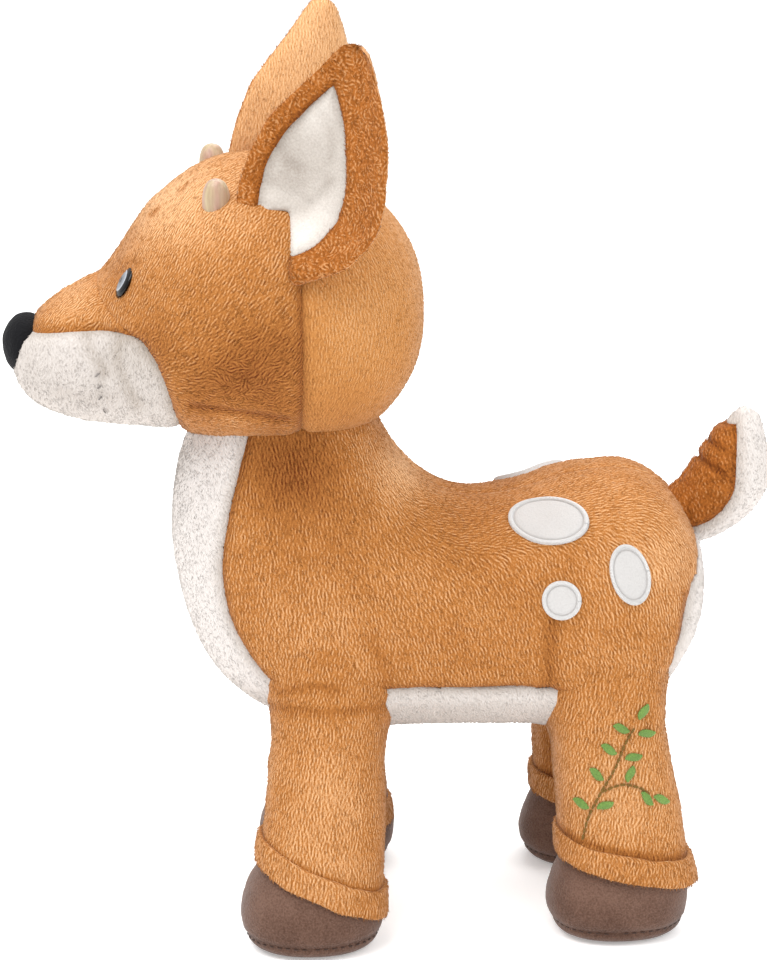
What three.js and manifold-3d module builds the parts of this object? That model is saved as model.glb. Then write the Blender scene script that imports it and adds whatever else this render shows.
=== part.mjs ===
// Standing plush deer, 35 cm to the ear tips, built as its fabric panels, filling and fittings.
// Millimetres. It stands on Z = 0 and faces -Y, and its own left side is +X.

import * as THREE from 'three';
import { ConvexGeometry } from 'three/addons/geometries/ConvexGeometry.js';
import { mergeVertices } from 'three/addons/utils/BufferGeometryUtils.js';
import Module from 'manifold-3d';

const wasm = await Module();
wasm.setup();

// Cloth and clearances
const cloth = 2.4;          // fabric with its pile pressed flat
const seam = 0.3;           // between two panels of one skin
const layer = 0.35;         // between a skin and what it is filled with
const seat = 0.3;           // between a moving piece and its seat
const overrun = 40;         // how far a cutter runs past what it cuts

// Trunk
const trunkLength = 202;    // chest to rump
const trunkHeight = 99;     // belly to the top of the rump
const trunkWidth = 104;
const bellyHeight = 76.5;   // floor to belly
const chestFront = 82;      // chest ahead of the origin
const trunkSquareness = 2.4;
const trunkSides = 16;
const trunkRings = 14;

// Head
const headLength = 153.7;   // back of the head to the muzzle under the nose
const headHeight = 106;
const headWidth = 126;
const headPlaceShares = { along: 0.4703, up: 1.1313 };  // its back and its underside, on the trunk
const headSquareness = 2.15;
const headSides = 16;
const headRings = 15;
const faceSeamShare = 0.3155;
const neckHole = 25;        // radius of the opening under the head
const neckPivotShares = { side: 0, along: 0.3578, up: 0.4104 };
const nodAngle = 8;

// Nose, eyes and antlers. Their places are shares of the head: side of its half width, along from its
// back, up from its underside.
const noseWidth = 27;
const noseLength = 19;
const noseHeight = 23;
const nosePlaceShares = { side: 0, along: 0.9629, up: 0.3443 };
const eyeDiameter = 12.4;
const eyeCrown = 3;
const eyeRim = 0.8;
const eyePlaceShares = { side: 0.4381, along: 0.7261, up: 0.6132 };
const eyeFacingShares = { side: 0.344, ahead: 1, up: 0.404 };
const stemDiameter = 4;
const stemLength = 11;
const stemPlay = 0.4;
const washerDiameter = 15;
const washerThickness = 1.6;
const washerGap = 2.2;      // filling squeezed between fabric and washer
const antlerDiameter = 10;
const antlerLength = 21;
const antlerPlaceShares = { side: 0.5476, along: 0.5075, up: 0.8868 };
const antlerLean = 12;      // degrees outwards

// Ears
const earHeight = 86;
const earWidth = 59;
const earPad = 6.6;         // thickness over the rim
const earCup = 15;          // depth of the hollow at the root
const earTipCup = 4;
const earRootSwell = 6;     // how far the closed lobe at the root stands out
const earLobeShare = 0.3;   // height over which the hollow opens above the lobe
const earPlaceShares = { side: 0.7619, along: 0.3871, up: 0.7925 };
const earRiseShares = [0.0515, 0.3826, 0.9224];   // direction from root to tip
const earSeamShares = [0.5136, 0.5393, -0.6677];  // direction of the root seam, front to back
const earSink = 9;          // root below the hinge line
const earHingeDepth = 5;    // hinge line behind the rim
const earFrontRim = 10.5;
const earBackRim = 18;
const earTipRim = 14;
const earRootRim = 8;
const liningCloth = 1.8;
const earSides = 16;
const earSquareness = 2.6;   // fullness of the padded rim
const liningSides = 12;
const liningRings = 9;
const earFold = 20;
const rightEarLean = 5;     // degrees further forward than the left ear

// Tail
const tailReach = 26.5;     // root to the tip along the body
const tailRise = 42.5;
const tailThickness = 26;
const tailWidth = 27;
const tailPlaceShares = { along: 0.953, up: 0.7778 };   // on the trunk
const tailRings = 8;
const tailRootRings = 4;    // those that sit in the trunk
const tailSides = 14;
const tailLift = 20;

// Legs
const hipRise = 7;          // belly to the hip and shoulder seams
const legWidth = 42;
const legLength = 42;
const sideFlareShare = 0.3; // flare to the side, as a share of the flare along
const swingAngle = 12;
const legSides = 10;
const legSquareness = 2.2;
const legOpening = 10;      // radius of the filling hole at the top of the tube
const cuffHeight = 10;
const cuffCloth = 2.8;
const hoofLength = 54;
const hoofWidth = 46;
const hoofHeight = 46;
const soleSeam = 5;
const soleCloth = 2.7;
const rightFrontStep = 10;  // how far the right front foot stands behind the left one
const frontLeg = { placeShares: { side: 0.5962, along: 0.2812 }, splay: 12.5, step: -4.8, hoofStep: -7.3,
  flare: 4.2, cuffFront: 33, cuffBack: 12.5 };
const hindLeg = { placeShares: { side: 0.6346, along: 0.803 }, splay: 4, step: 10.8, hoofStep: 4.3,
  flare: 9, cuffFront: 30.5, cuffBack: 26 };

// Applique spots
const patchCloth = 1.5;
const spotSizes = {
  large: { placeShares: { along: 0.6891, up: 0.862 }, length: 30, height: 21, turn: -8, tilt: 34 },
  small: { placeShares: { along: 0.702, up: 0.583 }, length: 14.4, height: 14.4, turn: 0, tilt: 10 },
  rear: { placeShares: { along: 0.8277, up: 0.6497 }, length: 14.6, height: 22.6, turn: 14, tilt: 18 },
};

// Side outline of the trunk from rump to neck. Along runs from the chest (0) to the rump (1), up from the
// belly (0) to the top of the rump (1): back line along, up; belly line along, up; width.
const trunkShares = [
  [1.000, 0.505, 1.000, 0.475, 0.035],
  [0.990, 0.640, 0.985, 0.370, 0.36],
  [0.972, 0.775, 0.955, 0.255, 0.63],
  [0.935, 0.885, 0.915, 0.150, 0.82],
  [0.885, 0.955, 0.865, 0.070, 0.94],
  [0.820, 0.985, 0.800, 0.020, 0.99],
  [0.740, 0.968, 0.725, 0.000, 1.00],
  [0.655, 0.912, 0.635, 0.000, 0.965],
  [0.578, 0.888, 0.530, 0.000, 0.93],
  [0.512, 0.918, 0.410, 0.005, 0.90],
  [0.460, 0.980, 0.290, 0.020, 0.885],
  [0.427, 1.050, 0.180, 0.075, 0.885],
  [0.402, 1.115, 0.090, 0.200, 0.885],
  [0.385, 1.185, 0.032, 0.410, 0.87],
  [0.373, 1.260, 0.002, 0.680, 0.82],
  [0.363, 1.340, 0.004, 0.950, 0.74],
  [0.353, 1.420, 0.034, 1.170, 0.68],
  [0.343, 1.490, 0.070, 1.340, 0.62],
];

// Head sections from back to front: along from the back (0) to the front (1); top and bottom from the
// underside (0) to the crown (1); width.
const headShares = [
  [0.000, 0.465, 0.435, 0.030],
  [0.013, 0.610, 0.310, 0.32],
  [0.049, 0.735, 0.185, 0.58],
  [0.120, 0.855, 0.070, 0.77],
  [0.218, 0.950, 0.010, 0.91],
  [0.329, 0.998, 0.000, 0.985],
  [0.433, 1.005, 0.005, 1.00],
  [0.530, 0.975, 0.025, 0.955],
  [0.608, 0.905, 0.050, 0.865],
  [0.667, 0.830, 0.060, 0.755],
  [0.712, 0.745, 0.065, 0.650],
  [0.751, 0.660, 0.068, 0.560],
  [0.784, 0.605, 0.072, 0.505],
  [0.836, 0.560, 0.082, 0.475],
  [0.895, 0.510, 0.110, 0.430],
  [0.947, 0.445, 0.150, 0.350],
  [0.983, 0.370, 0.205, 0.225],
  [1.000, 0.290, 0.275, 0.030],
];

// Seam lines in side view, in shares of the same lengths
const gussetSeamShares = [
  [0.185, 1.520], [0.120, 1.150], [0.080, 0.790], [0.082, 0.600], [0.105, 0.440], [0.172, 0.265],
  [0.270, 0.232], [0.600, 0.235], [0.850, 0.222], [0.905, 0.250], [0.940, 0.400], [0.962, 0.600],
];
const jawSeamShares = [
  [1.050, 0.440], [0.950, 0.445], [0.850, 0.450], [0.715, 0.455], [0.672, 0.402], [0.642, 0.312],
  [0.620, 0.200], [0.605, 0.090], [0.600, -0.150],
];
const stopSeamShares = [[0.815, 0.900], [0.795, 0.600], [0.765, 0.520], [0.715, 0.455]];

// Ear outline from root to tip: up, front edge, back edge, in shares of the ear's height and width
const earShares = [
  [0.00, -0.13, 0.30],
  [0.10, -0.25, 0.46],
  [0.19, -0.32, 0.57],
  [0.31, -0.352, 0.635],
  [0.42, -0.355, 0.64],
  [0.56, -0.325, 0.575],
  [0.70, -0.240, 0.475],
  [0.82, -0.155, 0.350],
  [0.91, -0.095, 0.240],
  [0.97, -0.055, 0.150],
];
const earTipShare = 0.026;

// Tail sections from root to tip: along and up in shares of reach and rise, thickness, width
const tailShares = [
  [0.00, 0.00, 0.86, 0.76],
  [0.38, 0.12, 1.04, 0.93],
  [0.70, 0.35, 1.16, 1.00],
  [0.82, 0.62, 0.94, 0.84],
  [0.91, 0.86, 0.56, 0.52],
  [0.93, 0.96, 0.24, 0.24],
];

// Hoof profile from the sole up: height, length, width, shift of the centre to the leg
const hoofShares = [
  [0.000, 0.68, 0.66, 0.00],
  [0.050, 0.84, 0.83, 0.00],
  [0.140, 0.95, 0.94, 0.00],
  [0.300, 1.00, 1.00, 0.00],
  [0.520, 0.93, 0.94, 0.25],
  [0.780, 0.74, 0.78, 0.85],
  [1.000, 0.66, 0.70, 1.00],
];

// Section of the cuff: out in shares of its cloth, up in shares of its height
const cuffShares = [[-0.4, 0.04], [0.35, 0], [0.85, 0.15], [1, 0.5], [0.8, 0.93], [-0.4, 1]];

// Levels of the rings of the leg tube, from its foot to the hinge, and the angles of its domed end
const tubeLevelShares = [0, 0.3, 0.62, 1];
const domeAngles = [30, 55, 75];
const fillLevelShares = [0.62, 0.8];
const fillDomeAngles = [0, 35, 70];

// Materials
const finish = (color, roughness = 0.9) => new THREE.MeshStandardMaterial({ color, roughness, metalness: 0 });
const brownPlush = finish(0xcd8b51);
const lightPlush = finish(0xdc9d60);
const darkPlush = finish(0xb67035);
const whitePlush = finish(0xece5df);
const hoofPlush = finish(0x7b5d4e);
const nosePlush = finish(0x26262a, 0.8);
const satin = finish(0xc2a98c, 0.45);
const filling = finish(0xf2f0ea, 1);
const eyePlastic = finish(0x14161a, 0.15);
const washerPlastic = finish(0xe6e2d8, 0.5);

// Helpers for geometry and solids

function merged(geometry) {
  const bare = geometry.clone();
  bare.deleteAttribute('normal');
  bare.deleteAttribute('uv');
  return mergeVertices(bare);
}

function solidOf(geometry) {
  const clean = merged(geometry);
  return new wasm.Manifold(new wasm.Mesh({
    numProp: 3,
    vertProperties: new Float32Array(clean.attributes.position.array),
    triVerts: new Uint32Array(clean.index.array),
  }));
}

function geometryOf(solid) {
  const mesh = solid.getMesh();
  const geometry = new THREE.BufferGeometry();
  geometry.setAttribute('position', new THREE.BufferAttribute(mesh.vertProperties, 3));
  geometry.setIndex(new THREE.BufferAttribute(mesh.triVerts, 1));
  return geometry;
}

// The same closed surface with each vertex moved along its normal: out when positive, in when negative.
function offset(geometry, distance) {
  const moved = merged(geometry);
  moved.computeVertexNormals();
  const place = moved.attributes.position;
  const normal = moved.attributes.normal;
  for (let i = 0; i < place.count; i += 1) {
    place.setXYZ(i, place.getX(i) + distance * normal.getX(i), place.getY(i) + distance * normal.getY(i),
      place.getZ(i) + distance * normal.getZ(i));
  }
  return moved;
}

// A closed surface through rings of equal count. Each end closes on the middle of its last ring, and the
// diagonals run alike on both sides of a ring that is drawn from its left.
function loft(rings) {
  const count = rings[0].length;
  const points = rings.flat();
  const middle = ring => ring.reduce((sum, p) => sum.add(p), new THREE.Vector3()).divideScalar(ring.length);
  const first = points.push(middle(rings[0])) - 1;
  const last = points.push(middle(rings[rings.length - 1])) - 1;
  const faces = [];
  for (let r = 0; r + 1 < rings.length; r += 1) {
    for (let k = 0; k < count; k += 1) {
      const a = r * count + k;
      const b = r * count + (k + 1) % count;
      if (4 * k < count || 4 * k >= 3 * count) {
        faces.push(a, b, b + count, a, b + count, a + count);
      } else {
        faces.push(a, b, a + count, b, b + count, a + count);
      }
    }
  }
  const top = (rings.length - 1) * count;
  for (let k = 0; k < count; k += 1) {
    faces.push(first, (k + 1) % count, k);
    faces.push(last, top + k, top + (k + 1) % count);
  }
  const geometry = new THREE.BufferGeometry().setFromPoints(points);
  geometry.setIndex(faces);
  return facingOut(geometry);
}

// Turns the triangles over when the closed surface holds a negative volume.
function facingOut(geometry) {
  const index = geometry.index.array;
  const corner = i => new THREE.Vector3().fromBufferAttribute(geometry.attributes.position, index[i]);
  let volume = 0;
  for (let i = 0; i < index.length; i += 3) {
    volume += corner(i).dot(corner(i + 1).cross(corner(i + 2)));
  }
  if (volume < 0) {
    for (let i = 0; i < index.length; i += 3) {
      [index[i + 1], index[i + 2]] = [index[i + 2], index[i + 1]];
    }
  }
  return geometry;
}

const squared = (value, squareness) => Math.sign(value) * Math.abs(value) ** (2 / squareness);

// An oval ring about a centre, spanned by two half axes, squarer as the exponent grows.
function oval(centre, halfA, halfB, sides, squareness = 2) {
  return Array.from({ length: sides }, (_, k) => {
    const angle = 2 * Math.PI * k / sides;
    return centre.clone().addScaledVector(halfA, squared(Math.cos(angle), squareness))
      .addScaledVector(halfB, squared(Math.sin(angle), squareness));
  });
}

const vector = (x, y, z) => new THREE.Vector3(x, y, z);

// Smooth rows between the rows of a table of shares.
function smoothRows(table, count) {
  const curves = [];
  for (let c = 0; c < table[0].length; c += 1) {
    curves.push(new THREE.CatmullRomCurve3(table.map((row, r) => vector(r, row[c], 0)), false, 'catmullrom'));
  }
  return Array.from({ length: count }, (_, i) => curves.map(curve => curve.getPoint(i / (count - 1)).y));
}

function mirrored(geometry) {
  const copy = merged(geometry).applyMatrix4(new THREE.Matrix4().makeScale(-1, 1, 1));
  const index = copy.index.array;
  for (let i = 0; i < index.length; i += 3) {
    [index[i + 1], index[i + 2]] = [index[i + 2], index[i + 1]];
  }
  return copy;
}

// A block between two corners.
function block(low, high) {
  const size = high.clone().sub(low);
  const centre = low.clone().add(high).multiplyScalar(0.5);
  return solidOf(new THREE.BoxGeometry(size.x, size.y, size.z).translate(centre.x, centre.y, centre.z));
}

// A prism along X whose outline is drawn in side view, as along (Y) and up (Z).
function sidePrism(outline, halfWidth) {
  const shape = new THREE.Shape(outline.map(([along, up]) => new THREE.Vector2(along, up)));
  const prism = new THREE.ExtrudeGeometry(shape, { depth: 2 * halfWidth, bevelEnabled: false });
  prism.translate(0, 0, -halfWidth);
  prism.applyMatrix4(new THREE.Matrix4().makeBasis(vector(0, 1, 0), vector(0, 0, 1), vector(1, 0, 0)));
  return solidOf(prism);
}

// The same line in side view moved sideways by a distance, to its left when positive.
function besideLine(line, distance) {
  return line.map((point, i) => {
    const before = line[Math.max(i - 1, 0)];
    const after = line[Math.min(i + 1, line.length - 1)];
    const scale = distance / Math.hypot(after[0] - before[0], after[1] - before[1]);
    return [point[0] - scale * (after[1] - before[1]), point[1] + scale * (after[0] - before[0])];
  });
}

function turned(geometry, pivot, axis, degrees) {
  const turn = new THREE.Matrix4().makeRotationAxis(axis, THREE.MathUtils.degToRad(degrees));
  return merged(geometry).translate(-pivot.x, -pivot.y, -pivot.z).applyMatrix4(turn)
    .translate(pivot.x, pivot.y, pivot.z);
}

// A form with its clearance, turned about an axis to either limit and at rest.
const turnedCopies = (geometry, pivot, axis, limit) =>
  [-limit, 0, limit].map(angle => turned(offset(geometry, seat), pivot, axis, angle));

// Room for a rounded form to turn in: the hull of its turned copies.
function hullRoom(geometry, pivot, axis, limit) {
  const points = [];
  for (const copy of turnedCopies(geometry, pivot, axis, limit)) {
    for (let i = 0; i < copy.attributes.position.count; i += 1) {
      points.push(new THREE.Vector3().fromBufferAttribute(copy.attributes.position, i));
    }
  }
  return solidOf(new ConvexGeometry(points));
}

// A round bar along an axis from a start point.
function bar(start, axis, radius, length, sides) {
  const cylinder = new THREE.CylinderGeometry(radius, radius, length, sides);
  cylinder.translate(0, length / 2, 0);
  cylinder.applyQuaternion(new THREE.Quaternion().setFromUnitVectors(vector(0, 1, 0), axis));
  return cylinder.translate(start.x, start.y, start.z);
}

const deer = new THREE.Group();

function addPiece(name, solid, material) {
  const piece = new THREE.Mesh(geometryOf(solid), material);
  piece.geometry.computeVertexNormals();
  piece.name = name;
  deer.add(piece);
}

function addPair(name, solid, material) {
  addPiece(`${name}_left`, solid, material);
  addPiece(`${name}_right`, solidOf(mirrored(geometryOf(solid))), material);
}

// Trunk form

const trunkAlong = share => -chestFront + trunkLength * share;
const trunkUp = share => bellyHeight + trunkHeight * share;

function makeTrunkForm() {
  const rows = smoothRows(trunkShares, trunkRings);
  return loft(rows.map(([backAlong, backUp, frontAlong, frontUp, width]) => {
    const back = vector(0, trunkAlong(backAlong), trunkUp(backUp));
    const front = vector(0, trunkAlong(frontAlong), trunkUp(frontUp));
    const centre = back.clone().add(front).multiplyScalar(0.5);
    return oval(centre, vector(width * trunkWidth / 2, 0, 0), back.sub(centre), trunkSides, trunkSquareness);
  }));
}

// Head form

const headBack = trunkAlong(headPlaceShares.along);
const headBottom = trunkUp(headPlaceShares.up);
const headAlong = share => headBack - headLength * share;
const headUp = share => headBottom + headHeight * share;
const onHead = ({ side, along, up }) => vector(side * headWidth / 2, headAlong(along), headUp(up));

function makeHeadForm() {
  return loft(smoothRows(headShares, headRings).map(([along, top, bottom, width]) => {
    const centre = vector(0, headAlong(along), headUp((top + bottom) / 2));
    const halfHeight = headHeight * (top - bottom) / 2;
    return oval(centre, vector(width * headWidth / 2, 0, 0), vector(0, 0, halfHeight), headSides,
      headSquareness);
  }));
}

// Ear frame: across from the front to the back of the root seam, up to the tip, out through the hollow

const earRoot = onHead(earPlaceShares);
const earUp = vector(...earRiseShares).normalize();
const earAcross = vector(...earSeamShares);
earAcross.addScaledVector(earUp, -earAcross.dot(earUp)).normalize();
const earOut = earAcross.clone().cross(earUp).normalize();

const earPoint = (across, up, out) => earRoot.clone().addScaledVector(earAcross, across)
  .addScaledVector(earUp, up).addScaledVector(earOut, out);

// Depth of the hollow behind the rim, full at the middle of the width and none at its edges. At the root it
// closes into a lobe that stands out instead.
function earHollow(across, share) {
  const lobe = Math.max(0, 1 - share / earLobeShare);
  const depth = (earCup + (earTipCup - earCup) * share) * (1 - lobe) - earRootSwell * lobe;
  return -depth * (1 - across * across);
}

function makeEarForm() {
  const rows = earShares.map(([up, front, back]) => {
    const middle = earWidth * (front + back) / 2;
    const half = earWidth * (back - front) / 2;
    const unit = oval(vector(0, 0, 0), vector(1, 0, 0), vector(0, 1, 0), earSides, earSquareness);
    const puff = Math.min(1, 2.4 * (1 - up) + 0.35);
    return unit.map(p => earPoint(middle + half * p.x, earHeight * up - earSink,
      earHollow(p.x, up) + p.y * puff * earPad / 2));
  });
  const tip = earPoint(earWidth * earTipShare, earHeight - earSink, 0);
  const last = rows[rows.length - 1];
  rows.push(last.map(p => tip.clone().lerp(p, 0.3)));
  return loft(rows);
}

// The lining lies in the hollow, within the rims.
function makeLiningForm() {
  const rows = [];
  const lastUp = 1 - earTipRim / earHeight;
  for (const [up, front, back] of smoothRows(earShares, liningRings)) {
    if (up < earRootRim / earHeight || up > lastUp) {
      continue;
    }
    const middle = earWidth * (front + back) / 2;
    const half = earWidth * (back - front) / 2;
    const rimWidening = 0.85 + 0.3 * up / lastUp;
    const low = -half + earFrontRim * rimWidening;
    const high = half - earBackRim * rimWidening;
    const unit = oval(vector(0, 0, 0), vector(1, 0, 0), vector(0, 1, 0), liningSides, 3);
    rows.push(unit.map(p => {
      const across = (low + high) / 2 + p.x * (high - low) / 2;
      const share = across / half;
      const face = (1 - Math.abs(share) ** earSquareness) ** (1 / earSquareness) * earPad / 2;
      return earPoint(middle + across, earHeight * up - earSink,
        earHollow(share, up) + face + p.y * liningCloth / 2);
    }));
  }
  return loft(rows);
}

// Tail form

const tailPivot = vector(0, trunkAlong(tailPlaceShares.along), trunkUp(tailPlaceShares.up));

function makeTailForm(count = tailRings) {
  const rows = smoothRows(tailShares, tailRings).slice(0, count);
  const centres = rows.map(([along, up]) =>
    tailPivot.clone().add(vector(0, tailReach * along, tailRise * up)));
  return loft(rows.map(([, , thickness, width], i) => {
    const next = centres[Math.min(i + 1, rows.length - 1)];
    const run = next.clone().sub(centres[Math.max(i - 1, 0)]).normalize();
    const across = vector(0, -run.z, run.y).multiplyScalar(thickness * tailThickness / 2);
    return oval(centres[i], vector(width * tailWidth / 2, 0, 0), across, tailSides, 2.1);
  }));
}

// Leg forms. Each is drawn for the left side.

const between = (a, b, share) => a + (b - a) * share;
const legHinge = bellyHeight + hipRise;

// A leg with its top on the trunk and its foot, moved along by a further step, on the floor.
function placedLeg(leg, further) {
  const top = { side: leg.placeShares.side * trunkWidth / 2, along: trunkAlong(leg.placeShares.along) };
  return { ...leg, top, foot: { side: top.side + leg.splay, along: top.along + leg.step + further },
    hoof: top.along + leg.hoofStep + further };
}

const legs = {
  front_left: { leg: placedLeg(frontLeg, 0), left: true },
  front_right: { leg: placedLeg(frontLeg, rightFrontStep), left: false },
  hind_left: { leg: placedLeg(hindLeg, 0), left: true },
  hind_right: { leg: placedLeg(hindLeg, 0), left: false },
};

// Centre and half sizes of the tube at a level; grow moves its surface out or in.
function tubeAt(leg, level, grow) {
  const rise = level / legHinge;
  const flare = leg.flare * (1 - rise ** 2);
  const side = between(leg.foot.side, leg.top.side, rise);
  const along = between(leg.foot.along, leg.top.along, rise);
  return {
    centre: vector(side, along, level),
    halfWidth: (legWidth + flare * sideFlareShare) / 2 + grow,
    halfLength: (legLength + flare) / 2 + grow,
  };
}

function tubeRing(leg, level, grow) {
  const { centre, halfWidth, halfLength } = tubeAt(leg, level, grow);
  return oval(centre, vector(halfWidth, 0, 0), vector(0, halfLength, 0), legSides, legSquareness);
}

// The domed end of the tube about the hinge point.
function domeRings(leg, grow, angles) {
  return angles.map(angle => {
    const lift = Math.sin(THREE.MathUtils.degToRad(angle));
    const spread = Math.cos(THREE.MathUtils.degToRad(angle));
    const { centre, halfWidth, halfLength } = tubeAt(leg, legHinge, grow);
    centre.z += halfWidth * lift;
    return oval(centre, vector(halfWidth * spread, 0, 0), vector(0, halfLength * spread, 0), legSides,
      legSquareness);
  });
}

function makeTubeForm(leg, grow, bottom) {
  return loft([...tubeLevelShares.map(share => tubeRing(leg, between(bottom, legHinge, share), grow)),
    ...domeRings(leg, grow, domeAngles)]);
}

function hoofRings(leg, grow) {
  return hoofShares.map(([height, length, width, shift]) => {
    const level = hoofHeight * height;
    const { centre } = tubeAt(leg, level, grow);
    centre.y = between(leg.hoof, centre.y, shift);
    return oval(centre, vector(hoofWidth * width / 2 + grow, 0, 0),
      vector(0, hoofLength * length / 2 + grow, 0), legSides, legSquareness);
  });
}

// Filling of hoof and tube in one: the hoof's inside below, the tube's inside above.
function makeLegFillForm(leg, inset) {
  const rings = hoofRings(leg, -inset);
  for (const p of rings.flat()) {
    p.z = Math.max(p.z, soleCloth + layer);
  }
  return loft([...rings, ...fillLevelShares.map(share => tubeRing(leg, legHinge * share, -inset)),
    ...domeRings(leg, -inset, fillDomeAngles)]);
}

// Level of the cuff's lower edge, which slopes from the front of the foot to its back.
function cuffLevel(leg, along) {
  const half = (legLength + leg.flare) / 2;
  return between(leg.cuffFront, leg.cuffBack, (along - leg.foot.along + half) / (2 * half));
}

// Everything under the sloping edge of the cuff.
function makeUnderCuff(leg) {
  const front = leg.foot.along - legLength;
  const back = leg.foot.along + legLength;
  return sidePrism([[front, -overrun], [back, -overrun], [back, cuffLevel(leg, back)],
    [front, cuffLevel(leg, front)]], leg.foot.side + legWidth);
}

// The turned-up hem: a rounded strip carried round the tube along the sloping edge.
function makeCuffForm(leg) {
  const rings = [];
  for (let i = 0; i < legSides; i += 1) {
    const angle = 2 * Math.PI * i / legSides;
    rings.push(cuffShares.map(([out, up]) => {
      const reach = (legLength + leg.flare * 0.9) / 2 + seam + cuffCloth * out;
      const level = cuffLevel(leg, leg.foot.along + reach * Math.sin(angle)) + cuffHeight * up;
      const { centre, halfWidth, halfLength } = tubeAt(leg, level, seam + cuffCloth * out);
      return centre.add(vector(halfWidth * squared(Math.cos(angle), legSquareness),
        halfLength * squared(Math.sin(angle), legSquareness), 0));
    }));
  }
  const points = rings.flat();
  const count = cuffShares.length;
  const faces = [];
  for (let r = 0; r < legSides; r += 1) {
    for (let k = 0; k < count; k += 1) {
      const a = r * count + k;
      const b = r * count + (k + 1) % count;
      const c = ((r + 1) % legSides) * count + (k + 1) % count;
      const d = ((r + 1) % legSides) * count + k;
      faces.push(a, b, c, a, c, d);
    }
  }
  const geometry = new THREE.BufferGeometry().setFromPoints(points);
  geometry.setIndex(faces);
  return facingOut(geometry);
}

// Forms and the room that moving pieces need

const trunkForm = makeTrunkForm();
const headForm = makeHeadForm();
const earForm = makeEarForm();
const liningForm = makeLiningForm();
const tailForm = makeTailForm();
const sideways = vector(1, 0, 0);
const neckPivot = onHead(neckPivotShares);
const earPivot = earPoint(0, 0, -earHingeDepth);

const headRoom = hullRoom(headForm, neckPivot, sideways, nodAngle);
const tailRoom = hullRoom(makeTailForm(tailRootRings), tailPivot, sideways, tailLift);
const legRooms = Object.values(legs).map(({ leg, left }) => {
  const pivot = vector(leg.top.side, leg.top.along, legHinge);
  const room = hullRoom(makeTubeForm(leg, 0, hoofHeight), pivot, sideways, swingAngle);
  return left ? room : solidOf(mirrored(geometryOf(room)));
});

// Trunk pieces

const reach = trunkLength + headLength;
const trunkOuter = solidOf(trunkForm);
const trunkCarve = legRooms.reduce((whole, room) => whole.add(room), headRoom.add(tailRoom));
const trunkSkin = trunkOuter.subtract(solidOf(offset(trunkForm, -cloth))).subtract(trunkCarve);
const trunkFilling = solidOf(offset(trunkForm, -(cloth + layer))).subtract(trunkCarve);

const gussetSeam = gussetSeamShares.map(([along, up]) => [trunkAlong(along), trunkUp(up)]);
function gussetSide(line) {
  const first = line[0];
  const last = line[line.length - 1];
  const outline = [[trunkAlong(0) - overrun, first[1]], ...line, [trunkAlong(1) + overrun, last[1]],
    [trunkAlong(1) + overrun, -overrun], [trunkAlong(0) - overrun, -overrun]];
  return sidePrism(outline, trunkWidth);
}
addPiece('belly_gusset', trunkSkin.intersect(gussetSide(gussetSeam)), whitePlush);
const sidePanels = trunkSkin.subtract(gussetSide(besideLine(gussetSeam, seam)));
const leftHalf = block(vector(seam / 2, -reach, -overrun), vector(reach, reach, 2 * reach));
const rightHalf = block(vector(-reach, -reach, -overrun), vector(-seam / 2, reach, 2 * reach));
addPiece('torso_panel_left', sidePanels.intersect(leftHalf), brownPlush);
addPiece('torso_panel_right', sidePanels.intersect(rightHalf), brownPlush);
addPiece('torso_stuffing', trunkFilling, filling);

// Applique spots, cut from a layer that lies on the side panels

const patchLayer = solidOf(offset(trunkForm, seam + patchCloth)).subtract(solidOf(offset(trunkForm, seam)));
for (const [name, spot] of Object.entries(spotSizes)) {
  const punch = new THREE.CylinderGeometry(1, 1, trunkWidth, 12).scale(spot.length / 2, 1, spot.height / 2);
  punch.translate(0, trunkWidth / 2, 0);
  punch.rotateY(THREE.MathUtils.degToRad(spot.turn));
  punch.applyMatrix4(new THREE.Matrix4().makeBasis(vector(0, 1, 0), vector(1, 0, 0), vector(0, 0, -1)));
  punch.rotateY(THREE.MathUtils.degToRad(-spot.tilt));
  const drop = trunkWidth / 3 * Math.tan(THREE.MathUtils.degToRad(spot.tilt));
  punch.translate(0, trunkAlong(spot.placeShares.along), trunkUp(spot.placeShares.up) - drop);
  addPair(`spot_${name}`, patchLayer.intersect(solidOf(punch)), whitePlush);
}

// Head pieces

const headOuter = solidOf(headForm);
const headSeat = solidOf(offset(headForm, layer));

// The eye faces along a normal of the head, which turns as the head's proportions change.
const eyeCentre = onHead(eyePlaceShares);
const eyeAxis = vector(eyeFacingShares.side / headWidth, -eyeFacingShares.ahead / headLength,
  eyeFacingShares.up / headHeight).normalize();
const stemStart = eyeCentre.clone().addScaledVector(eyeAxis, -stemLength);
const stem = solidOf(bar(stemStart, eyeAxis, stemDiameter / 2, stemLength + eyeRim, 12));
const stemRoom = solidOf(bar(stemStart.clone().addScaledVector(eyeAxis, -stemPlay), eyeAxis,
  stemDiameter / 2 + stemPlay, stemLength + 2 * eyeRim, 12));

function turnedProfile(profile, sides, centre, axis) {
  const lathe = new THREE.LatheGeometry(profile.map(([x, y]) => new THREE.Vector2(x, y)), sides);
  lathe.applyQuaternion(new THREE.Quaternion().setFromUnitVectors(vector(0, 1, 0), axis));
  return facingOut(merged(lathe.translate(centre.x, centre.y, centre.z)));
}

const eyeRadius = eyeDiameter / 2;
const eyeDome = turnedProfile([[0, -eyeCrown], [eyeRadius * 0.8, -eyeCrown * 0.5], [eyeRadius, 0],
  [eyeRadius, eyeRim], [eyeRadius * 0.87, eyeRim + eyeCrown * 0.45],
  [eyeRadius * 0.55, eyeRim + eyeCrown * 0.83], [0, eyeRim + eyeCrown]], 14, eyeCentre, eyeAxis);
const eye = solidOf(eyeDome).subtract(headSeat).add(stem);

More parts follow.
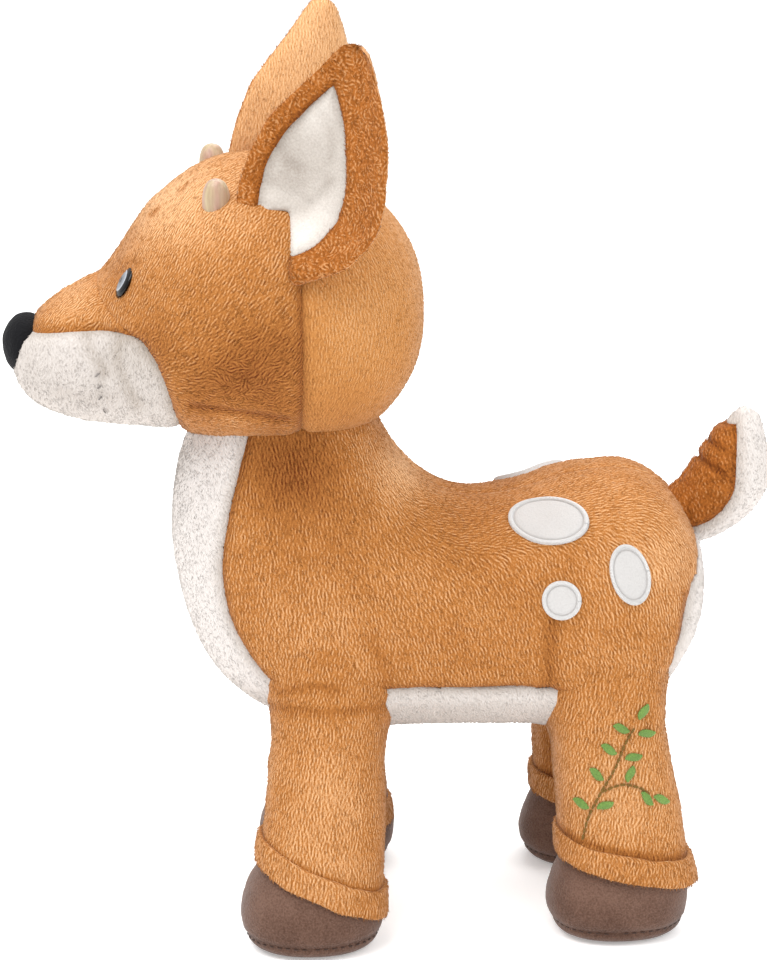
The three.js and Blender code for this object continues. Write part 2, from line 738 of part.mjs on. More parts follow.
const washerDepth = cloth + washerGap;
const washerCentre = eyeCentre.clone().addScaledVector(eyeAxis, -washerDepth - washerThickness);
function washerForm(grow) {
  const inner = stemDiameter / 2 + seam;
  const outer = washerDiameter / 2 + grow;
  return turnedProfile([[inner, -grow], [outer, -grow], [outer, washerThickness + grow],
    [inner, washerThickness + grow], [inner, -grow]], 16, washerCentre, eyeAxis);
}
const washerRoom = solidOf(bar(washerCentre.clone().addScaledVector(eyeAxis, -seam), eyeAxis,
  washerDiameter / 2 + seam, washerDepth + washerThickness, 16));

const antlerAxis = vector(Math.sin(THREE.MathUtils.degToRad(antlerLean)), 0,
  Math.cos(THREE.MathUtils.degToRad(antlerLean)));
const antlerRadius = antlerDiameter / 2;
const antlerForm = turnedProfile([[0, -antlerLength / 2], [antlerRadius * 0.95, -antlerLength * 0.4],
  [antlerRadius, 0], [antlerRadius * 0.96, antlerLength * 0.25], [antlerRadius * 0.75, antlerLength * 0.4],
  [antlerRadius * 0.4, antlerLength * 0.48], [0, antlerLength / 2]], 14,
  onHead(antlerPlaceShares), antlerAxis);

// The two ears mirror each other, but the right one leans further forward.
function addEar(side, place, lean) {
  const root = place(earRoot.clone());
  const angle = THREE.MathUtils.degToRad(lean);
  const pose = form => turned(form, root, sideways, lean);
  const pivot = place(earPivot.clone()).sub(root).applyAxisAngle(sideways, angle).add(root);
  const hinge = place(earAcross.clone()).applyAxisAngle(sideways, angle);
  const room = turnedCopies(headForm, pivot, hinge, earFold).map(solidOf).reduce((a, b) => a.add(b));
  const outer = pose(side === 'left' ? earForm : mirrored(earForm));
  const inner = pose(side === 'left' ? liningForm : mirrored(liningForm));
  addPiece(`ear_${side}`, solidOf(outer).subtract(solidOf(offset(inner, seam))).subtract(room), darkPlush);
  addPiece(`ear_lining_${side}`, solidOf(inner).subtract(room), whitePlush);
}

const fittingRoom = stemRoom.add(solidOf(mirrored(geometryOf(stemRoom))));
const washerRooms = washerRoom.add(solidOf(mirrored(geometryOf(washerRoom))));
const neckOpening = solidOf(new THREE.CylinderGeometry(neckHole, neckHole, headHeight / 2, 24)
  .rotateX(Math.PI / 2).translate(0, neckPivot.y, headBottom));
const headSkin = headOuter.subtract(solidOf(offset(headForm, -cloth))).subtract(fittingRoom)
  .subtract(neckOpening);
const headFilling = solidOf(offset(headForm, -(cloth + layer))).subtract(fittingRoom).subtract(washerRooms);

const jawSeam = jawSeamShares.map(([along, up]) => [headAlong(along), headUp(up)]);
const stopSeam = stopSeamShares.map(([along, up]) => [headAlong(along), headUp(up)]);

// Everything ahead of a seam line down to a level.
function aheadOf(line, bottom) {
  const front = headAlong(1) - overrun;
  return sidePrism([...line, [front, bottom], [front, line[0][1]]], headWidth);
}
const jawSide = line => aheadOf(line, headBottom - overrun);
const muzzleSide = line => aheadOf(line, jawSeam[0][1] - overrun);

addPiece('jaw', headSkin.intersect(jawSide(jawSeam)), whitePlush);
const upperSkin = headSkin.subtract(jawSide(besideLine(jawSeam, seam)));
addPiece('muzzle_top', upperSkin.intersect(muzzleSide(stopSeam)), brownPlush);
const faceSkin = upperSkin.subtract(muzzleSide(besideLine(stopSeam, seam)));
const faceSeam = headAlong(faceSeamShare);
const ahead = block(vector(-reach, -reach, 0), vector(reach, faceSeam - seam / 2, 2 * reach));
const behind = block(vector(-reach, faceSeam + seam / 2, 0), vector(reach, reach, 2 * reach));
addPair('face', faceSkin.intersect(ahead).intersect(leftHalf), brownPlush);
addPair('back_head', faceSkin.intersect(behind).intersect(leftHalf), lightPlush);
addPiece('head_stuffing', headFilling, filling);

const noseForm = new THREE.SphereGeometry(1, 14, 9).scale(noseWidth / 2, noseLength / 2, noseHeight / 2)
  .translate(...onHead(nosePlaceShares));
addPiece('nose', solidOf(noseForm).subtract(headSeat), nosePlush);
addPair('eye', eye, eyePlastic);
addPair('eye_washer', solidOf(washerForm(0)), washerPlastic);
addPair('antler', solidOf(antlerForm).subtract(headSeat), satin);
addEar('left', point => point, 0);
addEar('right', point => point.setX(-point.x), rightEarLean);

// Tail pieces

const tailSkin = solidOf(tailForm).subtract(solidOf(offset(tailForm, -cloth)));
const tailLine = smoothRows(tailShares, tailRings).map(([along, up]) =>
  [tailPivot.y + tailReach * (along + 0.1 - 0.2 * up), tailPivot.z + tailRise * (up - 0.05)]);
const tailBase = [tailLine[0][0] - tailReach, tailLine[0][1] - tailRise * 0.4];
const tailLast = tailLine[tailLine.length - 1];
const tailEnd = [tailLast[0], tailLast[1] + overrun];
function underSide(line) {
  return sidePrism([tailBase, ...line, tailEnd, [tailEnd[0] + overrun, tailEnd[1]],
    [tailEnd[0] + overrun, tailBase[1] - overrun], [tailBase[0], tailBase[1] - overrun]], tailWidth);
}
const tailOpening = block(tailPivot.clone().sub(vector(tailWidth, tailReach, tailRise)),
  tailPivot.clone().add(vector(tailWidth, -tailReach * 0.1, tailRise)));
const tailCloth = tailSkin.subtract(tailOpening);
addPiece('tail_underside', tailCloth.intersect(underSide(tailLine)), whitePlush);
addPiece('tail_top', tailCloth.subtract(underSide(besideLine(tailLine, seam))), darkPlush);
addPiece('tail_stuffing', solidOf(offset(tailForm, -(cloth + layer))), filling);

// Leg pieces

const underSeam = block(vector(-reach, -reach, -overrun), vector(reach, reach, soleSeam));
const overSeam = block(vector(-reach, -reach, soleSeam + seam), vector(reach, reach, reach));

for (const [name, { leg, left }] of Object.entries(legs)) {
  const fillForm = makeLegFillForm(leg, cloth + layer);
  const fillRoom = solidOf(offset(fillForm, layer));
  const hoofForm = loft(hoofRings(leg, 0));
  const hoofOuter = solidOf(hoofForm);
  const hoofRoom = solidOf(offset(hoofForm, layer));
  const tubeForm = makeTubeForm(leg, 0, soleSeam);
  const filler = solidOf(bar(vector(leg.top.side, leg.top.along, legHinge), vector(0, 0, 1), legOpening,
    legWidth, legSides));
  const tube = solidOf(tubeForm).subtract(makeUnderCuff(leg)).subtract(filler);
  const cuffRoom = solidOf(offset(tubeForm, seam)).add(hoofRoom);
  const pieces = {
    leg_skin: [tube.subtract(fillRoom).subtract(hoofRoom), brownPlush],
    cuff: [solidOf(makeCuffForm(leg)).subtract(cuffRoom), brownPlush],
    hoof: [hoofOuter.intersect(overSeam).subtract(fillRoom), hoofPlush],
    sole: [hoofOuter.intersect(underSeam).subtract(fillRoom), hoofPlush],
    leg_stuffing: [solidOf(fillForm), filling],
  };
  for (const [part, [solid, material]] of Object.entries(pieces)) {
    addPiece(`${part}_${name}`, left ? solid : solidOf(mirrored(geometryOf(solid))), material);
  }
}

export default deer;
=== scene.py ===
import math
import bpy
import numpy as np
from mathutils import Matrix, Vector


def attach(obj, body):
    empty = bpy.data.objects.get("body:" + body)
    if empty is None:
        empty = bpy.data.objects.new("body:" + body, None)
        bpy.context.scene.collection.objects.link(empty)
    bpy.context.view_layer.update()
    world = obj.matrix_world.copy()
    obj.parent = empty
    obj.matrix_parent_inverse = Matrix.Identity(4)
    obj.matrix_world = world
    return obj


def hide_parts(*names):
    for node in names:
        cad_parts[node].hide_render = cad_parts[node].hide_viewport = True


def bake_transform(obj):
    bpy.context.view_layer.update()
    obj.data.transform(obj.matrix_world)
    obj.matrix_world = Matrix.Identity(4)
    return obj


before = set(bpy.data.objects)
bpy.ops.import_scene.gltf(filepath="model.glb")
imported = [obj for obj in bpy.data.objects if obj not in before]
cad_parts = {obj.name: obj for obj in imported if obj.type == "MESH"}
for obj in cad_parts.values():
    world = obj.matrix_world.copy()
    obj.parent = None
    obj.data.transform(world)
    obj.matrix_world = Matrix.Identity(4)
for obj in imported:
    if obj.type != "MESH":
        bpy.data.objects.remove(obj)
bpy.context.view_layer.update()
print("frame loaded:", len(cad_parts), "nodes")

# The deer's values are in millimetres, in the frame of its solids; meshes are written in metres. Creases and soft
# shades are placed by pixels of the picture, seen from the camera.
bothSides = (("Left", 1), ("Right", -1))

# ---- camera and studio

cameraValues = {"azimuth": 86, "elevation": 16, "distance": 1.25, "target": (0, -0.0025, 0.1695), "lens": 123.7,
                "sensor": 36, "image": (767, 960), "pixelsPerMm": 2.64}


def addObject(name, data):
    made = bpy.data.objects.new(name, data)
    bpy.context.collection.objects.link(made)
    return made


def makeCamera(values):
    # Returns the directions back, right and up, the camera's place in metres and its focal length in pixels.
    azimuth, elevation = math.radians(values["azimuth"]), math.radians(values["elevation"])
    back = np.array([math.sin(azimuth) * math.cos(elevation), -math.cos(azimuth) * math.cos(elevation),
                     math.sin(elevation)])
    right = np.cross(-back, (0, 0, 1))
    right /= np.linalg.norm(right)
    place = np.array(values["target"]) + back * values["distance"]
    camera = addObject("camera", bpy.data.cameras.new("camera"))
    camera.location = place
    camera.rotation_euler = Vector(-back).to_track_quat("-Z", "Y").to_euler()
    camera.data.lens = values["lens"]
    camera.data.clip_start = 0.01
    bpy.context.scene.camera = camera
    return back, right, np.cross(right, -back), place, values["lens"] / values["sensor"] * values["image"][1]


viewBack, viewRight, viewUp, viewPlace, focalPixels = makeCamera(cameraValues)
middleX, middleY = cameraValues["image"][0] / 2, cameraValues["image"][1] / 2


def pixelOf(points):
    # Where points fall in the picture, in pixels; the right side of the deer is drawn as its left one.
    away = (np.abs(points * (1, 0, 0)) + points * (0, 1, 1)) * 0.001 - viewPlace
    scale = focalPixels / -(away @ viewBack)
    return np.stack([middleX + scale * (away @ viewRight), middleY - scale * (away @ viewUp)], -1)


lightValues = {
    "world": 0.8, "lookAt": (0, 0, 0.15),
    "areas": [  # place, size, watts; each looks at the deer's middle
        ((0.5, -0.7, 1.7), 1.5, 28),
        ((0.9, 0.9, 1.2), 1.3, 9),
        ((-0.9, 0.2, 1.5), 1.5, 16),
    ],
    "floorColor": (0.97, 0.97, 0.97, 1), "floorGlow": 0.3, "floorHalf": 14,
}


def makeStudio(values):
    scene = bpy.context.scene
    scene.view_settings.view_transform = "Standard"
    scene.world = world = scene.world or bpy.data.worlds.new("studio")
    world.use_nodes = True
    world.node_tree.nodes["Background"].inputs["Color"].default_value = (1, 1, 1, 1)
    world.node_tree.nodes["Background"].inputs["Strength"].default_value = values["world"]
    for i, (place, size, watts) in enumerate(values["areas"]):
        light = bpy.data.lights.new(f"softbox{i}", "AREA")
        light.shape, light.size, light.energy = "DISK", size, watts
        lamp = addObject(light.name, light)
        lamp.location = place
        lamp.rotation_euler = (Vector(values["lookAt"]) - Vector(place)).to_track_quat("-Z", "Y").to_euler()
    half = values["floorHalf"]
    mesh = bpy.data.meshes.new("floor")
    mesh.from_pydata([(-half, -half, 0), (half, -half, 0), (half, half, 0), (-half, half, 0)], [], [(0, 1, 2, 3)])
    shader = newMaterial("paper")[1]
    for key, value in (("Base Color", values["floorColor"]), ("Roughness", 0.9), ("Emission Color", (1, 1, 1, 1)),
                       ("Emission Strength", values["floorGlow"])):
        shader.inputs[key].default_value = value
    materials["paper"].cycles.emission_sampling = "NONE"
    mesh.materials.append(materials["paper"])
    addObject("floor", mesh)


materials = {}


def newMaterial(name):
    materials[name] = bpy.data.materials.new(name)
    materials[name].use_nodes = True
    return materials[name].node_tree, materials[name].node_tree.nodes["Principled BSDF"]


makeStudio(lightValues)
print("camera and studio made")

# ---- numbers


def unit(vectors):
    return vectors / np.maximum(np.linalg.norm(vectors, axis=-1, keepdims=True), 1e-9)


def vectors(*parts):
    return np.stack(np.broadcast_arrays(*parts), -1)


def anglesOf(count):
    return np.linspace(0, 2 * np.pi, count, endpoint=False)


def smoothRows(table, params):
    # Cubic through the rows of a table: row number in, row out, each end row mirrored outwards once.
    rows = np.asarray(table, float)
    longer = np.vstack([2 * rows[0] - rows[1], rows, 2 * rows[-1] - rows[-2]])
    start = np.clip(np.floor(params).astype(int), 0, len(rows) - 2)
    u = (np.asarray(params) - start)[:, None]
    a, b, c, d = (longer[start + i] for i in range(4))
    return 0.5 * (2 * b + (c - a) * u + (2 * a - 5 * b + 4 * c - d) * u**2 + (3 * b - a - 3 * c + d) * u**3)


def denseLine(table, count=90):
    return smoothRows(table, np.linspace(0, len(table) - 1, count))


def smoothStep(low, high, value):
    share = np.clip((value - low) / (high - low), 0, 1)
    return share * share * (3 - 2 * share)


def valueNoise(points, seed=0):
    # Random numbers on the corners of unit cubes, blended along each axis with 3t² - 2t³; from -1 to 1.
    cell = np.floor(points).astype(np.int64)
    part = points - cell
    part = part * part * (3 - 2 * part)
    total = np.zeros(points.shape[:-1])
    for corner in range(8):
        step = np.array([corner & 1, corner >> 1 & 1, corner >> 2 & 1])
        at = cell + step
        mix = at[..., 0] * 73856093 ^ at[..., 1] * 19349663 ^ at[..., 2] * 83492791 ^ (seed * 2654435761)
        mix = (mix ^ mix >> 13) * 1274126177
        mix = (mix ^ mix >> 16) & 0xFFFFF
        total += np.prod(np.where(step, part, 1 - part), axis=-1) * mix
    return total / 0xFFFFF * 2 - 1


def waves(points, seed, pairs):
    # The sum of noises, each with its height and size in millimetres; the seeds count on from the first.
    return sum(height * valueNoise(points / size, seed + i) for i, (height, size) in enumerate(pairs))


def squared(value, squareness):
    return np.sign(value) * np.abs(value) ** (2 / squareness)


def ovalRings(centre, halfA, halfB, squareness, count=480):
    # Ring point = centre + halfA cos^(2/n) + halfB sin^(2/n), n the squareness, signs kept.
    angle = anglesOf(count)[None, :, None]
    return centre[:, None] + halfA[:, None] * squared(np.cos(angle), squareness) \
        + halfB[:, None] * squared(np.sin(angle), squareness)


def evenAround(rings, count):
    # Points at equal shares of each ring's length, starting from its first point.
    closed = np.concatenate([rings, rings[:, :1]], axis=1)
    run = np.cumsum(np.linalg.norm(np.diff(closed, axis=1), axis=2), axis=1)
    run = np.concatenate([np.zeros((len(rings), 1)), run], axis=1) / run[:, -1:]
    lane = 2.0 * np.arange(len(rings))[:, None]
    wanted = (np.arange(count) / count + lane).ravel()
    columns = [np.interp(wanted, (run + lane).ravel(), closed[..., c].ravel()) for c in range(3)]
    return np.stack(columns, -1).reshape(len(rings), count, 3)


def evenAlong(makeRings, last, step):
    # Row numbers at equal distances along the form, measured as the mean move of a ring.
    fine = np.linspace(0, last, 60 * int(last) + 1)
    rings = makeRings(fine)[:, ::20]
    run = np.concatenate([[0], np.cumsum(np.linalg.norm(np.diff(rings, axis=0), axis=2).mean(axis=1))])
    return np.interp(np.linspace(0, run[-1], max(8, int(run[-1] / step))), run, fine)


def ringNormals(points):
    # Across the ring times along the rows, turned outwards from each ring's middle.
    around = np.roll(points, -1, axis=1) - np.roll(points, 1, axis=1)
    normals = unit(np.cross(around, np.gradient(points, axis=0)))
    return normals * np.sign((normals * (points - points.mean(axis=1, keepdims=True))).sum())


def evenForm(makeRings, values, last=None):
    # The form's even rings of even points, and their normals; the last row is that of the form's table.
    last = last or len(values["rows"]) - 1
    points = evenAround(makeRings(evenAlong(makeRings, last, values["step"])), values["around"])
    return points, ringNormals(points)


def raised(base, normals, height):
    # Points at so much height over a form, and their own normals.
    points = base + normals * height[..., None]
    return points, ringNormals(points)


def polylineDistance(line, y, z):
    # Distance in side view to a line of points, positive to the left of the line's run.
    flat = np.stack([y.ravel(), z.ravel()], -1)
    best, signed = np.full((2, len(flat)), 1e9)
    for start, step in zip(line[:-1], np.diff(line, axis=0)):
        share = np.clip(((flat - start) @ step) / (step @ step), 0, 1)
        gap = flat - start - share[:, None] * step
        distance = np.hypot(gap[:, 0], gap[:, 1])
        side = np.sign(step[0] * gap[:, 1] - step[1] * gap[:, 0])
        signed = np.where(distance < best, distance * np.where(side == 0, 1, side), signed)
        best = np.minimum(best, distance)
    return signed.reshape(y.shape)


def bell(distance, width):
    return np.exp(-(distance / width) ** 2)


def edgeBell(distance, width):
    # Full at a seam and beyond it, falling over the panel inside it.
    return bell(np.maximum(distance, 0), width)


def middleSeam(points, size):
    # The furrow of a seam down the middle: depth times exp(-(x/w)²), size holding the depth and the width.
    return size[0] * bell(points[..., 0], size[1])


def seamDip(distance, depth, width, under=2.0):
    # A cloth edge rolls down to its seam: depth times exp(-(d/w)²), and further down beyond the seam.
    return -depth * edgeBell(distance, width) - under * np.clip(-distance / 1.6, 0, 1)


def drawCreases(points, creases):
    # Each crease is a line of pixels with a depth and a width in millimetres and a darkness. It sinks by
    # exp(-(d/w)²) with the distance d, stands up by 0.4 as much on a line 2.6 times as wide, and darkens as
    # painted shade, save a few short marks whose darkness is their own colour.
    place = pixelOf(points)
    lift, tone = np.zeros((2, *points.shape[:-1]))
    for line, depth, width, dark in creases:
        distance = polylineDistance(denseLine(line, 8 * len(line)), place[..., 0], place[..., 1])
        distance = np.abs(distance) / cameraValues["pixelsPerMm"]
        lift += depth * (0.4 * bell(distance, 2.6 * width) - bell(distance, width))
        # Painted shade along the crease; for the brow's two short marks, their own dark colour.
        tone -= dark * bell(distance, width)
    return lift, tone


def softShade(points, shades):
    # The sum of soft round marks on the picture: amount times exp(-(d/r)²), place and radius in pixels.
    # The tables' shades are painted light and shade, partly also the pile's brushing; the curls give degrees.
    place = pixelOf(points)
    return sum(amount * bell(np.hypot(place[..., 0] - x, place[..., 1] - y), radius) for x, y, radius, amount in shades)


def straightLay(*direction):
    return lambda root, normal: np.tile(direction, (len(root), 1))


def acrossLay(points, normals, lay, curl=0.0, size=3.5):
    # Direction in the skin that lies square to the nap, turned by a noise of curl degrees.
    run = lay(points.reshape(-1, 3), normals.reshape(-1, 3)).reshape(points.shape)
    across = unit(np.cross(normals, run))
    turn = np.radians(curl * 1.6 * valueNoise(points / size, 7))[..., None]
    return across * np.cos(turn) + np.cross(across, normals) * np.sin(turn)


def nearestIn(points, cloud):
    # The number of the cloud's nearest point for each point, found by comparing all distances.
    return np.concatenate([((part[:, None] - cloud[None]) ** 2).sum(axis=2).argmin(axis=1)
                           for part in np.array_split(points, max(1, len(points) // 800))])


def nearestOffset(points, cloud, normals):
    # Height over the nearest point's tangent plane.
    flat = points.reshape(-1, 3)
    near = nearestIn(flat, cloud)
    return ((flat - cloud[near]) * normals[near]).sum(axis=1).reshape(points.shape[:-1])


def ontoSkin(points, direction, cloud, normals, passes=4):
    # Slides each point along a direction onto the tangent plane of the skin point nearest to it.
    flat = points.reshape(-1, 3)
    for _ in range(passes):
        near = nearestIn(flat, cloud)
        gap = ((cloud[near] - flat) * normals[near]).sum(axis=1) / (normals[near] @ direction)
        flat = flat + np.clip(gap, -30, 30)[:, None] * direction
    return flat.reshape(points.shape), normals[nearestIn(flat, cloud)].reshape(points.shape)


def stitchesAlong(line, stitch, share, *others):
    # Seven points for each stitch of a line, as long as its share of the step; the others follow along.
    run = np.concatenate([[0], np.cumsum(np.linalg.norm(np.diff(line, axis=0), axis=1))])
    at = np.arange(0, run[-1] - stitch, stitch)[:, None] + np.linspace(0, share, 7) * stitch
    return [np.stack([np.interp(at, run, column) for column in rows.T], -1) for rows in (line, *others)]


# ---- meshes


def meshPiece(name, points, faces):
    mesh = bpy.data.meshes.new(name)
    mesh.vertices.add(len(points))
    mesh.vertices.foreach_set("co", (points * 0.001).astype(np.float32).ravel())
    corners = np.concatenate([f.ravel() for f in faces]).astype(np.int32)
    sizes = np.concatenate([np.full(len(f), f.shape[1]) for f in faces])
    mesh.loops.add(len(corners))
    mesh.loops.foreach_set("vertex_index", corners)
    mesh.polygons.add(len(sizes))
    mesh.polygons.foreach_set("loop_start", np.concatenate([[0], np.cumsum(sizes)[:-1]]).astype(np.int32))
    mesh.update(calc_edges=True)
    mesh.validate()
    mesh.polygons.foreach_set("use_smooth", np.ones(len(mesh.polygons), bool))
    return addObject(name, mesh)


def setAttribute(piece, name, values):
    # One number for each point, or three for a direction.
    wide = np.size(values) == 3 * len(piece.data.vertices)
    layer = piece.data.attributes.new(name, "FLOAT_VECTOR" if wide else "FLOAT", "POINT")
    layer.data.foreach_set("vector" if wide else "value", np.asarray(values, np.float32).ravel())


def gridFaces(rows, columns, wrap=True):
    r = np.arange(rows - 1)[:, None]
    k = np.arange(columns if wrap else columns - 1)[None]
    a, b = r * columns + k, r * columns + (k + 1) % columns
    return np.stack([a, b, b + columns, a + columns], -1).reshape(-1, 4)


def endFans(rows, columns):
    # Triangles from both end rings to a point on the middle of each, numbered after the rings' points.
    k, top = np.arange(columns), (rows - 1) * columns
    return [np.stack([np.full(columns, rows * columns), (k + 1) % columns, k], -1),
            np.stack([np.full(columns, rows * columns + 1), top + k, top + (k + 1) % columns], -1)]


def withEnds(values):
    # A row for each point of the rings, then the means of the first and the last ring.
    rows, columns = values.shape[:2]
    flat = values.reshape(rows * columns, -1)
    return np.vstack([flat, flat[:columns].mean(axis=0), flat[-columns:].mean(axis=0)])


def outward(points, faces):
    # Signed volume of the fan of triangles; the faces are turned over when it is negative.
    volume = sum((points[f[:, 0]] * np.cross(points[f[:, i]], points[f[:, i + 1]])).sum()
                 for f in faces for i in range(1, f.shape[1] - 1))
    return faces if volume > 0 else [f[:, ::-1] for f in faces]


def closedSkin(name, points, **fields):
    # Rings joined to a closed form, with a fan on the middle of each end ring.
    flat = withEnds(points)
    piece = meshPiece(name, flat, outward(flat, [gridFaces(*points.shape[:2]), *endFans(*points.shape[:2])]))
    for field, values in fields.items():
        setAttribute(piece, field, withEnds(values))
    return piece


def patchSkin(name, points, normals, inside, thickness=1.6, wrap=True, **fields):
    # The part of a ringed form where inside is true, given a cloth's thickness inwards. An end ring that is
    # wholly inside gets a fan on its middle.
    rows, columns = points.shape[:2]
    faces = gridFaces(rows, columns, wrap)
    faces = faces[inside.reshape(-1)[faces].all(axis=1)]
    fans = zip(endFans(rows, columns), (inside[0], inside[-1]))
    shapes = [faces] + [fan for fan, ring in fans if wrap and ring.all()]
    flat = withEnds(points)
    facing = np.cross(flat[faces[:, 1]] - flat[faces[:, 0]], flat[faces[:, 2]] - flat[faces[:, 0]])
    if (facing * normals.reshape(-1, 3)[faces[:, 0]]).sum() < 0:
        shapes = [shape[:, ::-1] for shape in shapes]
    used = np.unique(np.concatenate([shape.ravel() for shape in shapes]))
    place = np.zeros(len(flat), int)
    place[used] = np.arange(len(used))
    piece = meshPiece(name, flat[used], [place[shape] for shape in shapes])
    for field, values in fields.items():
        setAttribute(piece, field, withEnds(values)[used])
    wall = piece.modifiers.new("cloth", "SOLIDIFY")
    wall.thickness, wall.offset = thickness * 0.001, -1
    return piece


def makeThreads(name, lines, normals, radius, sides=8):
    # Each thread is a closed form of rings round its line, little more than half as high as wide and drawn in
    # to almost nothing at both ends; all threads are one mesh.
    run = unit(np.gradient(lines, axis=1))
    angle = anglesOf(sides)[:, None]
    ends = np.sqrt(np.clip(1 - np.abs(np.linspace(-1, 1, lines.shape[1])) ** 6, 0.02, 1))[None, :, None, None] * radius
    rings = lines[:, :, None] + ends * (np.cross(normals, run)[:, :, None] * np.cos(angle)
                                        + 0.6 * normals[:, :, None] * np.sin(angle))
    flat = np.stack([withEnds(form) for form in rings])
    faces = outward(flat[0], [gridFaces(lines.shape[1], sides), *endFans(lines.shape[1], sides)])
    steps = flat.shape[1] * np.arange(len(rings))[:, None, None]
    return meshPiece(name, flat.reshape(-1, 3), [(f[None] + steps).reshape(-1, f.shape[1]) for f in faces])


# ---- materials


def srgb(red, green, blue):
    values = [v / 255 for v in (red, green, blue)]
    return [v / 12.92 if v <= 0.04045 else ((v + 0.055) / 1.055) ** 2.4 for v in values] + [1]


def makeGroup(name, inputs, outputs):
    # Each socket has a name and a kind: Color, Float or Vector.
    tree = bpy.data.node_groups.new(name, "ShaderNodeTree")
    for direction, sockets in (("INPUT", inputs), ("OUTPUT", outputs)):
        for label, kind in sockets.items():
            tree.interface.new_socket(label, in_out=direction, socket_type=f"NodeSocket{kind}")
    return tree, tree.nodes.new("NodeGroupInput").outputs, tree.nodes.new("NodeGroupOutput").inputs


def addNode(tree, kind, links=None, **settings):
    # A node with its settings; links gives each input a value or another node's output.
    made = tree.nodes.new(kind)
    for key, value in settings.items():
        setattr(made, key, value)
    for key, value in (links or {}).items():
        if isinstance(value, bpy.types.NodeSocket):
            tree.links.new(value, made.inputs[key])
        else:
            made.inputs[key].default_value = value
    return made


def mixColor(tree, factor, a, b):
    # Sockets 0, 6 and 7 are the colour mix's factor and its two colours; output 2 is its result.
    return addNode(tree, "ShaderNodeMix", {0: factor, 6: a, 7: b}, data_type="RGBA").outputs[2]


def mathNode(tree, operation, *values):
    return addNode(tree, "ShaderNodeMath", dict(enumerate(values)), operation=operation).outputs[0]


def stretched(tree, value, middle, gain, shift):
    return mathNode(tree, "MULTIPLY_ADD", mathNode(tree, "SUBTRACT", value, middle), gain, shift)


def blended(tree, a, shareA, b, shareB):
    return mathNode(tree, "ADD", mathNode(tree, "MULTIPLY", a, shareA), mathNode(tree, "MULTIPLY", b, shareB))


def noiseNode(tree, scale, detail, drawn=(1, 1, 1), roughness=0.5):
    # Noise on the piece's own place, drawn out along an axis by a smaller number.
    place = addNode(tree, "ShaderNodeTexCoord").outputs["Object"]
    if drawn != (1, 1, 1):
        place = addNode(tree, "ShaderNodeMapping", {"Vector": place, "Scale": drawn}).outputs["Vector"]
    return addNode(tree, "ShaderNodeTexNoise", {"Vector": place, "Scale": scale, "Detail": detail,
                                                "Roughness": roughness}).outputs["Fac"]


def fieldOf(tree, name, output="Fac"):
    return addNode(tree, "ShaderNodeAttribute", attribute_name=name).outputs[output]


def finishMaterial(tree, shader, color, settings, height=None, bump=0.0, strength=0.8):
    # Links the colour and a bump of so many millimetres, and sets the shader's own sockets.
    tree.links.new(color, shader.inputs["Base Color"])
    if height:
        made = addNode(tree, "ShaderNodeBump", {"Distance": bump * 0.001, "Strength": strength, "Height": height})
        tree.links.new(made.outputs["Normal"], shader.inputs["Normal"])
    for key, value in settings.items():
        shader.inputs[key].default_value = value


def makeNapColor():
    # Deep, middle and light hairs by one value: the middle at 0.5; broad soft patches shift the value.
    tree, source, sink = makeGroup("napColor", {
        "Deep": "Color", "Mid": "Color", "Light": "Color", "Value": "Float", "Patch Size": "Float",
        "Patch Strength": "Float"}, {"Color": "Color"})
    patch = noiseNode(tree, 1, 3, roughness=0.65)
    tree.links.new(source["Patch Size"], patch.node.inputs["Scale"])
    value = stretched(tree, patch, 0.5, source["Patch Strength"], source["Value"])
    low = mixColor(tree, mathNode(tree, "MULTIPLY", value, 2), source["Deep"], source["Mid"])
    tree.links.new(mixColor(tree, mathNode(tree, "MULTIPLY_ADD", value, 2, -1), low, source["Light"]), sink["Color"])
    return tree


def makeNapStreaks():
    # Fine ridges that run along the nap: waves square to it in soft round patches, broken up by a finer noise.
    tree, source, sink = makeGroup("napStreaks", {
        "Across": "Vector", "Scale": "Float", "Frequency": "Float", "Straightness": "Float"},
        {"Mask": "Float", "Height": "Float"})
    place = addNode(tree, "ShaderNodeTexCoord").outputs["Object"]
    ridges = addNode(tree, "ShaderNodeTexGabor", {
        "Vector": place, "Scale": source["Scale"], "Frequency": source["Frequency"],
        "Anisotropy": source["Straightness"], 5: source["Across"]}, gabor_type="3D").outputs["Value"]
    grain = noiseNode(tree, mathNode(tree, "MULTIPLY", source["Scale"], 3.4), 1)
    both = blended(tree, ridges, 0.72, grain, 0.28)
    mask = addNode(tree, "ShaderNodeClamp", {"Value": stretched(tree, both, 0.5, 2.6, 0.62)}).outputs[0]
    tree.links.new(mask, sink["Mask"])
    tree.links.new(both, sink["Height"])
    return tree


def makeClothGrain():
    # Fine velour or felt: two sizes of noise give a mask, and its height for the bump.
    tree, source, sink = makeGroup("clothGrain", {"Scale": "Float", "Contrast": "Float"},
                                   {"Mask": "Float", "Height": "Float"})
    fine = noiseNode(tree, source["Scale"], 2)
    broad = noiseNode(tree, mathNode(tree, "MULTIPLY", source["Scale"], 0.06), 2)
    spread = stretched(tree, blended(tree, fine, 0.65, broad, 0.35), 0.5, source["Contrast"], 0.5)
    tree.links.new(addNode(tree, "ShaderNodeClamp", {"Value": spread}).outputs[0], sink["Mask"])
    tree.links.new(fine, sink["Height"])
    return tree


napColor, napStreaks, clothGrain = makeNapColor(), makeNapStreaks(), makeClothGrain()

